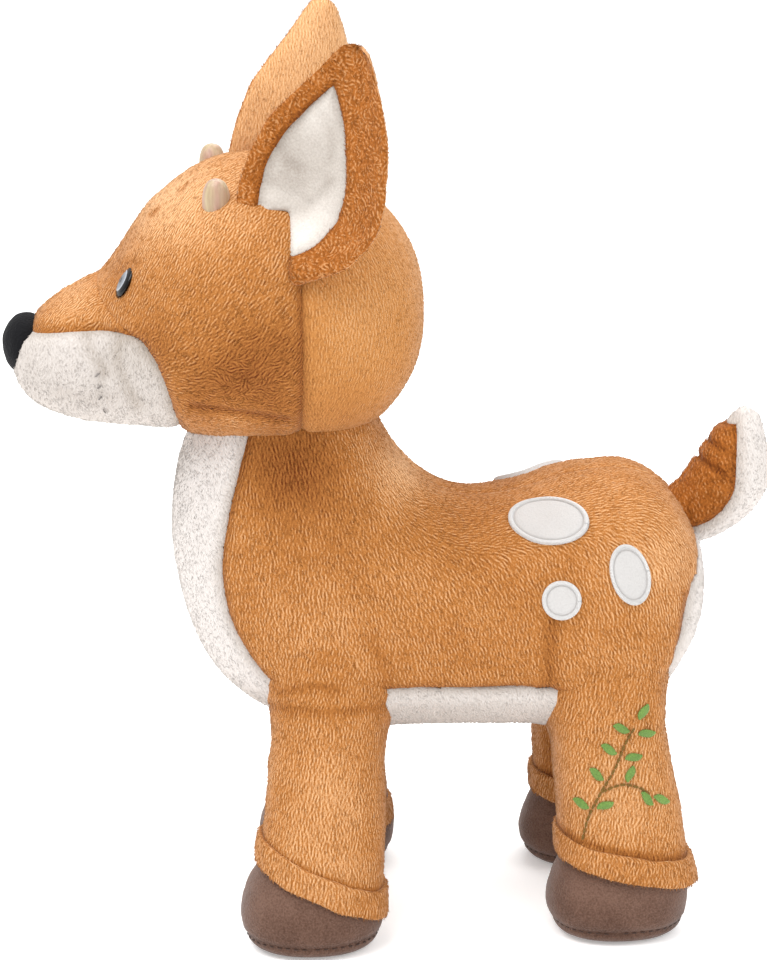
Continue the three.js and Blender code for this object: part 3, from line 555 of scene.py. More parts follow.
# deep, middle and light hairs in 0-255; ridges per metre, their frequency and straightness; how much the ridges
# and the tufts' own shade colour them; bump in millimetres; sheen; the patches' size per metre and strength
napFinishes = {
    "caramel": dict(deep=(94, 41, 3), mid=(164, 105, 49), light=(233, 188, 142), ridges=(560, 1.4, 0.85),
                    streak=0.56, tuft=0.3, bump=0.6, sheen=0.2, patch=(60, 0.2)),
    "smooth": dict(deep=(116, 62, 18), mid=(178, 120, 63), light=(234, 194, 150), ridges=(600, 1.4, 0.85),
                   streak=0.36, tuft=0.2, bump=0.45, sheen=0.22, patch=(40, 0.14)),
    "ear": dict(deep=(82, 34, 2), mid=(158, 92, 33), light=(230, 184, 134), ridges=(500, 1.4, 0.6),
                streak=0.45, tuft=0.22, bump=0.8, sheen=0.2, patch=(80, 0.26)),
    "white": dict(deep=(150, 139, 128), mid=(211, 205, 201), light=(238, 235, 233), ridges=(700, 1.3, 0.7),
                  streak=0.18, tuft=0.1, bump=0.35, sheen=0.1, patch=(50, 0.14)),
}

# two colours in 0-255, grain per metre, contrast, bump in millimetres, sheen, roughness
thread = dict(grain=1600, contrast=1.4, bump=0.1, sheen=0.1, rough=0.6)
clothFinishes = {
    "whiteVelour": dict(dark=(150, 141, 132), light=(212, 206, 199), grain=1300, contrast=0.9, bump=0.25, sheen=0.06,
                        rough=0.9),
    "hoofVelour": dict(dark=(72, 48, 36), light=(112, 85, 72), grain=1400, contrast=2.4, bump=0.4, sheen=0.2,
                       rough=0.9),
    "noseVelour": dict(dark=(2, 2, 3), light=(16, 16, 20), grain=1100, contrast=2.0, bump=0.4, sheen=0.02, rough=0.9),
    "threadUmber": dict(thread, dark=(40, 26, 20), light=(76, 54, 44)),
    "threadBrown": dict(thread, dark=(84, 62, 16), light=(122, 92, 34)),
    "threadGreen": dict(thread, dark=(58, 92, 26), light=(112, 148, 58), rough=0.55),
    "threadGrey": dict(thread, dark=(96, 90, 86), light=(140, 134, 130), rough=0.7),
}


def makeNapMaterial(name, values, tufted):
    # The skin is coloured by its ridges and the tufts by their own random shade, rising to the tip; both by the tone,
    # which carries painted light and shade.
    tree, shader = newMaterial(name)
    tone = mathNode(tree, "ADD", fieldOf(tree, "tone"), 0.5)
    height = None
    if tufted:
        own = mathNode(tree, "MULTIPLY_ADD", fieldOf(tree, "height"), 0.3, fieldOf(tree, "shade"))
        value = stretched(tree, own, 0.9, values["tuft"], tone)
    else:
        ridges = addNode(tree, "ShaderNodeGroup", {
            "Across": fieldOf(tree, "across", "Vector"),
            **dict(zip(("Scale", "Frequency", "Straightness"), values["ridges"]))}, node_tree=napStreaks)
        value, height = stretched(tree, ridges.outputs["Mask"], 0.62, values["streak"], tone), ridges.outputs["Height"]
    hairs = addNode(tree, "ShaderNodeGroup", {
        "Value": value, "Deep": srgb(*values["deep"]), "Mid": srgb(*values["mid"]), "Light": srgb(*values["light"]),
        "Patch Size": values["patch"][0], "Patch Strength": values["patch"][1]}, node_tree=napColor)
    finishMaterial(tree, shader, hairs.outputs["Color"], {
        "Roughness": 0.9, "Specular IOR Level": 0.2, "Sheen Weight": values["sheen"], "Sheen Roughness": 0.35,
        "Sheen Tint": srgb(255, 238, 218)}, height, values["bump"])


def makeClothMaterial(name, values):
    tree, shader = newMaterial(name)
    grain = addNode(tree, "ShaderNodeGroup", {"Scale": values["grain"], "Contrast": values["contrast"]},
                    node_tree=clothGrain)
    # The tone adds its painted light and shade to the grain.
    mask = mathNode(tree, "ADD", grain.outputs["Mask"], fieldOf(tree, "tone"))
    finishMaterial(tree, shader, mixColor(tree, mask, srgb(*values["dark"]), srgb(*values["light"])), {
        "Roughness": values["rough"], "Specular IOR Level": 0.5 if values["rough"] < 0.6 else 0.2,
        "Sheen Weight": values["sheen"], "Sheen Roughness": 0.45}, grain.outputs["Height"], values["bump"], 0.9)


def makeSpotMaterial(name):
    # Felt inside, then a thin furrow painted grey as shade, then a satin border whose threads run across it.
    tree, shader = newMaterial(name)
    inset = fieldOf(tree, "inset")
    grain = addNode(tree, "ShaderNodeGroup", {"Scale": 1500, "Contrast": 1.3}, node_tree=clothGrain)
    felt = mixColor(tree, grain.outputs["Mask"], srgb(172, 169, 167), srgb(190, 188, 186))
    # A thin furrow just inside the border, painted grey as shade.
    away = mathNode(tree, "ABSOLUTE", mathNode(tree, "SUBTRACT", inset, 1.2))
    furrowShade = mathNode(tree, "SUBTRACT", 1, mathNode(tree, "MULTIPLY", away, 5))
    lined = mixColor(tree, mathNode(tree, "MULTIPLY", furrowShade, 0.6), felt, srgb(138, 132, 129))
    border = mathNode(tree, "LESS_THAN", inset, 1.0)
    wave = mathNode(tree, "SINE", mathNode(tree, "MULTIPLY", fieldOf(tree, "around"), 14.0))
    threads = mathNode(tree, "MULTIPLY_ADD", wave, 0.5, 0.5)
    satin = mixColor(tree, threads, srgb(196, 194, 192), srgb(212, 211, 210))
    height = mathNode(tree, "ADD", mathNode(tree, "MULTIPLY", threads, border), grain.outputs["Height"])
    finishMaterial(tree, shader, mixColor(tree, border, lined, satin), {"Roughness": 0.75}, height, 0.2, 0.9)


def makeEyeMaterial(name):
    # Black pupil, grey iris that lightens outwards with fine spokes of noise, black rim; by the share of radius. The
    # iris's light grey is partly a painted reflection on the dome.
    tree, shader = newMaterial(name)
    spokes = noiseNode(tree, 1400, 2)
    share = mathNode(tree, "MULTIPLY_ADD", spokes, 0.06, mathNode(tree, "SUBTRACT", fieldOf(tree, "radial"), 0.03))
    ramp = addNode(tree, "ShaderNodeValToRGB", {"Fac": share})
    stops = ramp.color_ramp.elements
    stops[0].position, stops[0].color = 0.0, srgb(4, 5, 6)
    stops[1].position, stops[1].color = 1.0, srgb(5, 5, 6)
    # Grey stops lightening outwards: partly iris, partly a painted reflection.
    for position, color in ((0.14, (5, 6, 8)), (0.2, (96, 101, 108)), (0.5, (130, 136, 144)), (0.62, (170, 175, 182)),
                            (0.67, (6, 6, 8))):
        stops.new(position).color = srgb(*color)
    gloss = {"Roughness": 0.14, "Specular IOR Level": 0.3}
    finishMaterial(tree, shader, ramp.outputs["Color"], gloss, spokes, 0.03, 0.4)


def makeSatinMaterial(name):
    # Noise drawn out up the antler, as floats of thread: pinkish and yellowish threads with a soft gloss; their fine
    # light and dark streaks are partly painted sheen.
    tree, shader = newMaterial(name)
    threads = noiseNode(tree, 1, 3, (900, 900, 45))
    bands = stretched(tree, noiseNode(tree, 1, 2, (260, 260, 20)), 0.5, 3.2, 0.5)
    tinted = mixColor(tree, bands, srgb(174, 138, 122), srgb(182, 163, 128))
    fine = stretched(tree, threads, 0.5, 2.4, 0.5)
    color = mixColor(tree, fine, mixColor(tree, 0.45, tinted, srgb(120, 92, 66)), tinted)
    finishMaterial(tree, shader, color, {"Roughness": 0.42, "Sheen Weight": 0.15}, threads, 0.2)


for name, values in napFinishes.items():
    makeNapMaterial(f"{name}Nap", values, False)
    makeNapMaterial(f"{name}Tufts", values, True)
for name, values in clothFinishes.items():
    makeClothMaterial(name, values)
makeSpotMaterial("spotFelt")
makeEyeMaterial("eyePlastic")
makeSatinMaterial("antlerSatin")
print("materials made:", len(materials))


def dress(piece, material, slot, body=None, nodes=(), fill=None, blend=None):
    piece.data.materials.append(materials[material])
    if nodes:
        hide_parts(*nodes)
    if blend:
        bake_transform(piece)
    else:
        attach(piece, body)


# ---- pile: slender closed tufts laid along the nap

# millimetres and degrees; size and rise are the random spreads of a tuft's size and of its tip's lift
tuftValues = {"length": 1.4, "width": 0.3, "height": 0.2, "lift": 0.5, "swirl": 22, "swirlSize": 9, "jitter": 16,
              "perSquare": 0.55, "size": (0.75, 1.2), "rise": (0.5, 1.3), "rooted": 0.25, "ridge": 0.3, "lean": 0.2,
              "patch": 2.2}
whiteTuft = dict(tuftValues, length=1.2, width=0.24, swirl=30, perSquare=0.6)
smoothTuft = dict(tuftValues, length=1.2, width=0.28, height=0.16, lift=0.4, swirl=16)
earTuft = dict(tuftValues, length=1.5, width=0.34, height=0.26, lift=0.7, swirl=60, swirlSize=4, jitter=30,
               perSquare=0.9)
cuffTuft = dict(tuftValues, length=1.7, lift=0.35, swirl=14, perSquare=0.7)


def layPile(name, material, slot, points, normals, weight, tone, lay, seed, tuft=tuftValues, **carried):
    # Each tuft stands on a random place of the skin, chosen by area times weight. Its root is a small
    # triangle and its tip lies one length along the lay, the lay's direction kept in the skin and swirled.
    rng = np.random.default_rng(seed)
    faces = gridFaces(*points.shape[:2])
    flat, out = points.reshape(-1, 3), normals.reshape(-1, 3)
    a, b, c, d = (flat[faces[:, i]] for i in range(4))
    area = np.linalg.norm(np.cross(c - a, d - b), axis=1) / 2 * weight.reshape(-1)[faces].mean(axis=1)
    count = int(area.sum() * tuft["perSquare"])
    corners = faces[rng.choice(len(faces), count, p=area / area.sum())]
    u, v = rng.random((2, count, 1))
    shares = [(1 - u) * (1 - v), u * (1 - v), u * v, (1 - u) * v]
    root = sum(s * flat[corners[:, i]] for i, s in enumerate(shares))
    normal = unit(sum(s * out[corners[:, i]] for i, s in enumerate(shares)))
    rootTone = sum(s[:, 0] * tone.reshape(-1)[corners[:, i]] for i, s in enumerate(shares))
    run = lay(root, normal)
    run = unit(run - (run * normal).sum(axis=1, keepdims=True) * normal)
    side = np.cross(normal, run)
    swirl = valueNoise(root / tuft["swirlSize"], seed) * tuft["swirl"] + rng.normal(0, tuft["jitter"], count)
    turn = np.radians(swirl)[:, None]
    run, side = run * np.cos(turn) + side * np.sin(turn), side * np.cos(turn) - run * np.sin(turn)
    size = rng.uniform(*tuft["size"], (count, 1))
    lift = rng.uniform(*tuft["rise"], (count, 1)) * tuft["lift"]
    half = side * tuft["width"] / 2 * size
    base = root - normal * tuft["rooted"]
    ridge = root + run * tuft["length"] * size * tuft["ridge"] + normal * tuft["height"]
    tip = root + run * tuft["length"] * size + normal * lift * 0.8
    points = np.stack([base + half, base - half, ridge, tip], axis=1).reshape(-1, 3)
    tetra = np.array([[0, 1, 2], [1, 0, 3], [2, 1, 3], [0, 2, 3]])[None] + 4 * np.arange(count)[:, None, None]
    piece = meshPiece(name, points, [tetra.reshape(-1, 3)])
    piece.data.normals_split_custom_set_from_vertices(np.repeat(unit(normal - run * tuft["lean"]), 4, axis=0))
    patch = 0.5 + 0.5 * valueNoise(root / tuft["patch"], seed + 1)
    setAttribute(piece, "shade", np.repeat(0.6 * rng.random(count) + 0.4 * patch, 4))
    setAttribute(piece, "height", np.tile([0.0, 0.0, 0.6, 1.0], count))
    # The tufts take the skin's tone, with its painted light and shade.
    setAttribute(piece, "tone", np.repeat(rootTone, 4))
    dress(piece, material, slot, **carried)


# ---- trunk

shoulderCreases = [  # line in the picture, depth and width in millimetres, darkness of its painted shade
    ([(283, 692), (308, 687), (337, 690)], 0.8, 1.5, 0.14),
    ([(256, 703), (300, 711), (350, 712), (402, 702)], 0.9, 1.7, 0.14)]
trunkValues = {
    "length": 202, "height": 99, "width": 104, "chest": -82, "belly": 76.5, "squareness": 2.4,
    "step": 1.7, "around": 190, "waves": [(0.7, 24), (0.35, 9), (0.16, 2.4)], "backSeam": (0.9, 1.3),
    "pileTop": (214, 206), "whitePileTop": (205, 198), "edge": 0.2,  # heights where the pile fades, painted shade along the seams
    "rows": [  # back line along and up, belly line along and up, width
        [1, .505, 1, .475, .035], [.99, .64, .985, .37, .36], [.972, .775, .955, .255, .63],
        [.935, .885, .915, .15, .82], [.885, .955, .865, .07, .94], [.82, .985, .8, .02, .99],
        [.74, .968, .725, 0, 1], [.655, .912, .635, 0, .965], [.578, .888, .53, 0, .93],
        [.512, .918, .41, .005, .9], [.46, .98, .29, .02, .885], [.427, 1.05, .18, .075, .885],
        [.402, 1.115, .09, .2, .885], [.385, 1.185, .032, .41, .87], [.373, 1.26, .002, .68, .82],
        [.363, 1.34, .004, .95, .74], [.353, 1.42, .034, 1.17, .68], [.343, 1.49, .07, 1.34, .62]],
    "gussetSeam": [[.185, 1.52], [.12, 1.15], [.08, .79], [.082, .6], [.105, .44], [.172, .265], [.27, .232],
                   [.6, .235], [.85, .222], [.905, .25], [.94, .4], [.962, .6]],
    "creases": [
        ([(373, 440), (375, 475), (370, 510)], 0.5, 3.0, 0.06), ([(687, 594), (685, 620), (677, 652)], 1.0, 2.0, 0.22),
        *shoulderCreases, ([(556, 606), (551, 640), (550, 690)], 1.2, 3.2, 0.16),
        ([(372, 640), (384, 670), (388, 700)], 0.7, 3.0, 0.1)],
    "shades": [  # place and radius in the picture, amount: painted light where positive, painted shade where negative
        (292, 467, 46, -0.26), (330, 500, 60, -0.06), (460, 515, 60, -0.06), (664, 560, 50, 0.16), (560, 468, 60, 0.04),
        (398, 468, 40, 0.26), (320, 660, 60, 0.06), (620, 690, 50, 0.05)],
    "neckBlend": {"from": "torso", "to": "head", "start": (0, -0.04, 0.16), "end": (0, -0.05, 0.215)},
}


def trunkPlace(along, up):
    values = trunkValues
    return values["chest"] + values["length"] * along, values["belly"] + values["height"] * up


def trunkRings(params):
    # Squared ovals between a back line and a belly line in side view, as wide as the table says.
    rows = smoothRows(trunkValues["rows"], params)
    back, belly = (vectors(0, *trunkPlace(rows[:, c], rows[:, c + 1])) for c in (0, 2))
    middle = (back + belly) / 2
    side = vectors(rows[:, 4] * trunkValues["width"] / 2, 0, 0)
    return ovalRings(middle, side, back - middle, trunkValues["squareness"])


trunkBase, trunkNormals = evenForm(trunkRings, trunkValues)
gussetLine = np.stack(trunkPlace(*denseLine(trunkValues["gussetSeam"]).T), -1)
gussetSide = polylineDistance(gussetLine, trunkBase[..., 1], trunkBase[..., 2])  # brown where positive

# ---- legs

legValues = {
    "hinge": 83.5, "width": 42, "length": 42, "squareness": 2.2, "dome": 44, "step": 1.8, "around": 88, "fillet": 4.5,
    "swing": (0.100, 0.058),                                       # metres above the floor: the start and end heights given to the leg's blend
    "waves": [(0.55, 17), (0.3, 7), (0.14, 2.2)],
    "legs": {
        "front_left": dict(top=(31, -25.2), foot=(43.5, -30.6), flare=7, hoof=-32.5, cuff=(33, 12.5), square=0, side=1),
        "front_right": dict(top=(31, -25.2), foot=(43.5, -19), flare=4.2, hoof=-22.5, cuff=(34, 17), square=0, side=-1),
        "hind_left": dict(top=(33, 80.2), foot=(37, 91), flare=9, hoof=84.5, cuff=(32, 21), square=0.9, side=1),
        "hind_right": dict(top=(33, 80.2), foot=(37, 88), flare=9, hoof=82, cuff=(30.5, 26), square=0.9, side=-1),
    },
    "creases": shoulderCreases,
    "shades": [(322, 780, 50, 0.1), (615, 790, 70, 0.12), (325, 870, 60, 0.1)],
}


def squarenessAt(leg, level):
    return legValues["squareness"] + leg["square"] * smoothStep(30, 75, level)


def tubeAt(leg, level):
    # Centre and half sizes of the tube: straight from foot to top, flared by its flare times 1 - rise².
    rise = level / legValues["hinge"]
    flare = leg["flare"] * np.clip(1 - rise ** 2, 0, 1)
    x, y = (foot + (top - foot) * rise for foot, top in zip(leg["foot"], leg["top"]))
    return x, y, (legValues["width"] + 0.3 * flare) / 2, (legValues["length"] + flare) / 2


def cuffLevel(leg, y):
    half = (legValues["length"] + leg["flare"]) / 2
    return leg["cuff"][0] + (leg["cuff"][1] - leg["cuff"][0]) * (y - leg["foot"][1] + half) / (2 * half)


def tubeRings(leg, params):
    # Rows 0 to 1 rise from the sloping hem to the hinge; rows 1 to 2 are a tall dome, cos wide and sin high.
    angle = anglesOf(360)[None]
    share = np.clip(params, 0, 1)[:, None]
    squareness = squarenessAt(leg, leg["cuff"][0] + (legValues["hinge"] - leg["cuff"][0]) * share)
    cosine, sine = squared(np.cos(angle), squareness), squared(np.sin(angle), squareness)
    dome = np.radians(90 * np.clip(params - 1, 0, 0.999))[:, None]
    hem = cuffLevel(leg, leg["foot"][1] + (legValues["length"] + 4) / 2 * sine) + 3
    level = hem + (legValues["hinge"] - hem) * share
    x, y, halfWidth, halfLength = tubeAt(leg, level)
    return np.stack([(x + halfWidth * np.cos(dome) * cosine) * leg["side"], y + halfLength * np.cos(dome) * sine,
                     level + legValues["dome"] * np.sin(dome)], -1)


def legDistance(leg, points):
    # About the distance to the leg: the squared oval's own measure less one, times the half width.
    local = points * (leg["side"], 1, 1)
    level = np.minimum(local[..., 2], legValues["hinge"])
    x, y, halfWidth, halfLength = tubeAt(leg, level)
    above = np.maximum(local[..., 2] - legValues["hinge"], 0) / legValues["dome"]
    power = squarenessAt(leg, level)
    across = np.abs((local[..., 0] - x) / halfWidth) ** power + np.abs((local[..., 1] - y) / halfLength) ** power
    return (np.sqrt(across ** (2 / power) + above ** 2) - 1) * legValues["width"] / 2


def fillet(distance):
    # Soft swelling where two stuffed forms meet: k ln(1 + exp(-d/k)), faded well inside the other form.
    k = legValues["fillet"]
    return k * np.log1p(np.exp(-np.clip(distance, -30, 60) / k)) * smoothStep(-7, -1, distance)


legGaps = [legDistance(leg, trunkBase) for leg in legValues["legs"].values()]
legBulge = np.maximum(np.max([np.where(gap < 25, fillet(gap), 0) for gap in legGaps], axis=0), 0)
clearOfLegs = smoothStep(-3.5, -1, np.min(legGaps, axis=0))

trunkWaves = waves(trunkBase, 3, trunkValues["waves"])
backSeam = middleSeam(trunkBase, trunkValues["backSeam"]) * (gussetSide > 6)
# The trunk's tone: painted shade in its creases and along the belly seam, with the soft painted light and shade of its
# shades.
trunkSink, trunkTone = drawCreases(trunkBase, trunkValues["creases"])
trunkTone = trunkTone + softShade(trunkBase, trunkValues["shades"]) - trunkValues["edge"] * edgeBell(gussetSide, 2.5)
trunkLift = trunkWaves + legBulge - backSeam - 0.4 + trunkSink
trunkPoints, trunkSurface = raised(trunkBase, trunkNormals, trunkLift + seamDip(gussetSide, 2.0, 2.4))


def trunkLay(root, normal):
    # Straight down on the chest, down and back on the flank, level along the top of the back.
    flank = smoothStep(-50, 20, root[:, 1])[:, None] * smoothStep(200, 150, root[:, 2])[:, None]
    topped = smoothStep(0.45, 0.85, normal[:, 2])[:, None]
    down = np.array([0, 0.26, -1]) * (1 - flank) + np.array([0, 0.5, -1]) * flank
    return down * (1 - topped) + np.array([0, 1, -0.1]) * topped


gussetLay = straightLay(0, 0.7, -0.7)
trunkCarried = {"blend": trunkValues["neckBlend"]}
piece = closedSkin("trunkSkin", trunkPoints, tone=trunkTone, across=acrossLay(trunkPoints, trunkSurface, trunkLay))
dress(piece, "caramelNap", "caramel_minky", nodes=("torso_panel_left", "torso_panel_right", "torso_stuffing"),
      fill=0.85, **trunkCarried)

gussetLift = 0.5 * legBulge + 0.6 * trunkWaves + 0.3 + seamDip(-gussetSide, 1.8, 3.0)
gussetPoints, gussetSurface = raised(trunkBase, trunkNormals, gussetLift)
# The white is a little darker all over, and painted darker towards the belly's underside and along its seam, as painted
# shade.
gussetTone = -0.07 - 0.16 * smoothStep(105, 90, trunkBase[..., 2]) - trunkValues["edge"] * edgeBell(-gussetSide, 2)
piece = patchSkin("bellyGusset", gussetPoints, gussetSurface, gussetSide < 1.7, tone=gussetTone,
                  across=acrossLay(gussetPoints, gussetSurface, gussetLay, 30))
dress(piece, "whiteNap", "white_plush", nodes=("belly_gusset",), **trunkCarried)

shown = smoothStep(0.2, 1.2, gussetSide) * clearOfLegs * smoothStep(*trunkValues["pileTop"], trunkBase[..., 2])
for side, sign in bothSides:
    layPile(f"trunkPile{side}", "caramelTufts", "caramel_minky", trunkPoints, trunkSurface,
            shown * (trunkBase[..., 0] * sign > 0), trunkTone, trunkLay, 11 + sign, **trunkCarried)
shown = smoothStep(-0.2, -1.5, gussetSide) * clearOfLegs \
    * smoothStep(*trunkValues["whitePileTop"], trunkBase[..., 2])
layPile("gussetPile", "whiteTufts", "white_plush", gussetPoints, gussetSurface, shown, gussetTone, gussetLay, 21,
        whiteTuft, **trunkCarried)
print("trunk made")

cuffValues = {"height": 10, "cloth": 1.9, "around": 140, "waves": [(0.5, 8), (0.2, 2.2)],
              "profile": [[-.5, .06], [.55, -.03], [1.05, .06], [1.0, .5], [.75, .92], [.1, 1.0], [-.6, .92]]}
hoofValues = {"length": 54, "width": 46, "height": 46, "seam": 6.0, "stitch": 3.2, "thread": 0.32, "step": 1.3,
              "around": 120, "waves": [(0.35, 11), (0.14, 2.5)],
              "rows": [[0, .6, .58, 0], [.02, .72, .7, 0], [.05, .84, .83, 0], [.14, .95, .94, 0], [.3, 1, 1, 0],
                       [.52, .93, .94, .25], [.78, .74, .78, .85], [1, .66, .7, 1]]}
legSurfaces = {}
legLay = straightLay(0, 0.12, -1)


def makeLeg(name, title, leg):
    base, normals = evenForm(lambda params: tubeRings(leg, params), legValues, 2)
    trunkGap = nearestOffset(base, trunkBase[::3, ::3].reshape(-1, 3), trunkNormals[::3, ::3].reshape(-1, 3))
    sink, tone = drawCreases(base, legValues["creases"])
    lift = fillet(trunkGap) * smoothStep(45, 75, base[..., 2]) + waves(base, 31, legValues["waves"]) - 0.5 + sink
    points, surface = legSurfaces[name] = raised(base, normals, lift)
    hip = leg["top"][0] * leg["side"] * 0.001, leg["top"][1] * 0.001
    start, end = ((*hip, height) for height in legValues["swing"])
    blend = {"from": "torso", "to": f"{name}_leg", "start": start, "end": end}
    # Painted shade in the creases, in a band just above the cuff and on the legs' inner faces low down, between the
    # legs; the shades add soft painted light.
    above = base[..., 2] - cuffLevel(leg, base[..., 1]) - cuffValues["height"]
    innerShade = smoothStep(0.3, 0.9, -surface[..., 0] * leg["side"]) * smoothStep(100, 80, base[..., 2])
    tone = tone + softShade(base, legValues["shades"]) - 0.3 * bell(above, 1.8) - 0.2 * innerShade
    skin = closedSkin(f"legSkin{title}", points, tone=tone, across=acrossLay(points, surface, legLay))
    dress(skin, "caramelNap", "caramel_minky", nodes=(f"leg_skin_{name}", f"leg_stuffing_{name}"), fill=0.85,
          blend=blend)
    layPile(f"legPile{title}", "caramelTufts", "caramel_minky", points, surface, smoothStep(-3.5, -1, trunkGap), tone,
            legLay, 40 + sum(map(ord, name)), blend=blend)


def cuffRings(leg):
    # A rounded strip carried round the tube: out by the profile's first number, up by its second.
    profile = denseLine(cuffValues["profile"], 22)
    angle = anglesOf(cuffValues["around"])[:, None]
    cosine, sine = (squared(f(angle), legValues["squareness"]) for f in (np.cos, np.sin))
    out = -0.3 + cuffValues["cloth"] * profile[None, :, 0]
    reach = (legValues["length"] + leg["flare"] * 0.9) / 2 + out
    level = cuffLevel(leg, leg["foot"][1] + reach * sine) + cuffValues["height"] * profile[None, :, 1]
    x, y, halfWidth, halfLength = tubeAt(leg, level)
    return np.stack([(x + (halfWidth + out) * cosine) * leg["side"], y + (halfLength + out) * sine, level], -1)


def makeCuff(name, title, leg):
    points = cuffRings(leg)
    rows, columns = points.shape[:2]
    normals = ringNormals(points)
    points = points + normals * waves(points, 51, cuffValues["waves"])[..., None]
    flat = points.reshape(-1, 3)
    closing = gridFaces(2, columns) % columns + np.array([rows - 1, rows - 1, 0, 0]) * columns
    # The legs' shades: soft painted light.
    tone = softShade(points, legValues["shades"])
    cuff = meshPiece(f"cuff{title}", flat, outward(flat, [np.concatenate([gridFaces(rows, columns), closing])]))
    setAttribute(cuff, "tone", tone)
    setAttribute(cuff, "across", acrossLay(points, normals, legLay).reshape(-1, 3))
    dress(cuff, "caramelNap", "caramel_minky", body=f"{name}_leg", nodes=(f"cuff_{name}",))
    shown = ((normals * (points - points.mean(axis=(0, 1)))).sum(axis=-1) > -2).astype(float)
    looped = [np.concatenate([field, field[:1]]) for field in (points, normals, shown, tone)]
    layPile(f"cuffPile{title}", "caramelTufts", "caramel_minky", *looped, legLay, 61, cuffTuft, body=f"{name}_leg")


def hoofRings(leg, params):
    # Squared ovals from the sole up: height, length, width and the shift from hoof to tube in the table.
    height, length, width, shift = smoothRows(hoofValues["rows"], params).T
    level = np.maximum(hoofValues["height"] * height, 0)
    x, y, _, _ = tubeAt(leg, level)
    rings = ovalRings(vectors(x, leg["hoof"] + (y - leg["hoof"]) * shift, level),
                      vectors(hoofValues["width"] * width / 2, 0, 0),
                      vectors(0, hoofValues["length"] * length / 2, 0), legValues["squareness"])
    return rings * (leg["side"], 1, 1)


def makeHoof(name, title, leg):
    base, normals = evenForm(lambda params: hoofRings(leg, params), hoofValues)
    height = base[..., 2]
    dip = bell(height - hoofValues["seam"] - 0.5 * valueNoise(base / 14, 70), 0.9)
    lift = waves(base, 71, hoofValues["waves"]) * smoothStep(0.5, 4, height)
    points = base + normals * (lift - dip)[..., None]
    points[..., 2] = np.maximum(points[..., 2], 0)
    # Tone: painted shade in the seam's groove; the velour is darker low down and lighter towards the top.
    hoof = closedSkin(f"hoof{title}", points, tone=-0.35 * dip + 0.25 * smoothStep(8, 26, height) - 0.1)
    dress(hoof, "hoofVelour", "hoof_velour", body=f"{name}_leg", nodes=(f"hoof_{name}", f"sole_{name}"), fill=0.8)
    row = np.abs(height.mean(axis=1) - hoofValues["seam"]).argmin()
    lines, out = stitchesAlong(points[row], hoofValues["stitch"], 0.55, normals[row])
    threads = makeThreads(f"soleStitches{title}", lines + unit(out) * 0.25, unit(out), hoofValues["thread"], 6)
    dress(threads, "threadUmber", "hoof_velour", body=f"{name}_leg")


for name, leg in legValues["legs"].items():
    for make in (makeLeg, makeCuff, makeHoof):
        make(name, "".join(part.capitalize() for part in name.split("_")), leg)
print("legs made")

# ---- head

headValues = {
    "length": 153.7, "height": 106, "width": 126, "back": 13.0, "bottom": 188.5, "squareness": 2.15,
    "step": 1.6, "around": 190, "faceSeam": -35.5, "waves": [(0.8, 26), (0.35, 10), (0.16, 2.4)],
    "crownSeam": (0.8, 1.2), "edge": 0.16,
    "rows": [  # along, top, bottom, width
        [0, .465, .435, .03], [.013, .61, .31, .32], [.049, .735, .185, .58], [.12, .855, .07, .77],
        [.218, .95, .01, .91], [.329, .998, 0, .985], [.433, 1.005, .005, 1], [.53, .975, .025, .955],
        [.608, .905, .05, .865], [.667, .83, .06, .755], [.712, .745, .065, .65], [.751, .66, .068, .56],
        [.784, .605, .072, .505], [.836, .56, .082, .475], [.895, .51, .11, .43], [.947, .445, .15, .35],
        [.983, .37, .205, .225], [1, .29, .275, .03]],
    "jawSeam": [[1.05, .385], [.95, .42], [.85, .445], [.715, .455], [.672, .402], [.642, .312], [.62, .2], [.605, .09],
                [.6, -.15]],
    "stopSeam": [[.815, .9], [.795, .6], [.765, .52], [.715, .455], [.705, .38], [.75, .3]],
    "creases": [
        ([(190, 405), (222, 410), (255, 416), (288, 421)], 0.8, 1.3, 0.22),
        ([(113, 338), (104, 360), (101, 388)], 0.4, 2.2, 0.05),
        # The two short lines on the brow are small dark marks of the cloth; in the other creases the darkness is
        # painted shade.
        ([(111, 303), (114, 283), (124, 266), (138, 259)], 0.4, 2.0, 0.07), ([(179, 191), (187, 183)], 0.4, 0.7, 0.3),
        ([(149, 216), (157, 208)], 0.4, 0.7, 0.3), ([(86, 336), (92, 352), (106, 372)], 0.6, 2.6, 0.12),
        ([(120, 342), (118, 360), (126, 384), (138, 404)], 0.7, 2.6, 0.14),
        ([(60, 392), (92, 398), (112, 396)], 0.4, 3.0, 0.06)],
    "shades": [
        (240, 385, 54, -0.27), (150, 345, 26, -0.16), (285, 340, 40, -0.1), (165, 205, 44, 0.2), (215, 190, 50, 0.12),
        (75, 300, 34, 0.12), (330, 425, 50, -0.1), (235, 424, 26, 0.16), (345, 330, 50, 0.05)],
    "curls": [(245, 385, 44, 70), (150, 350, 26, 40), (85, 318, 26, 50)],  # degrees instead of an amount
}


def headPlace(along, up):
    values = headValues
    return values["back"] - values["length"] * along, values["bottom"] + values["height"] * up


def headRings(params):
    # Squared ovals from the back of the head to the muzzle, between a crown line and a chin line.
    along, top, bottom, width = smoothRows(headValues["rows"], params).T
    return ovalRings(vectors(0, *headPlace(along, (top + bottom) / 2)), vectors(width * headValues["width"] / 2, 0, 0),
                     vectors(0, 0, headValues["height"] * (top - bottom) / 2), headValues["squareness"])


def seamSide(table, count, inside):
    # Distance to a seam of the head, positive on the side where inside is true.
    side = polylineDistance(np.stack(headPlace(*denseLine(table, count).T), -1), headY, headZ)
    return side if side[inside].mean() > 0 else -side


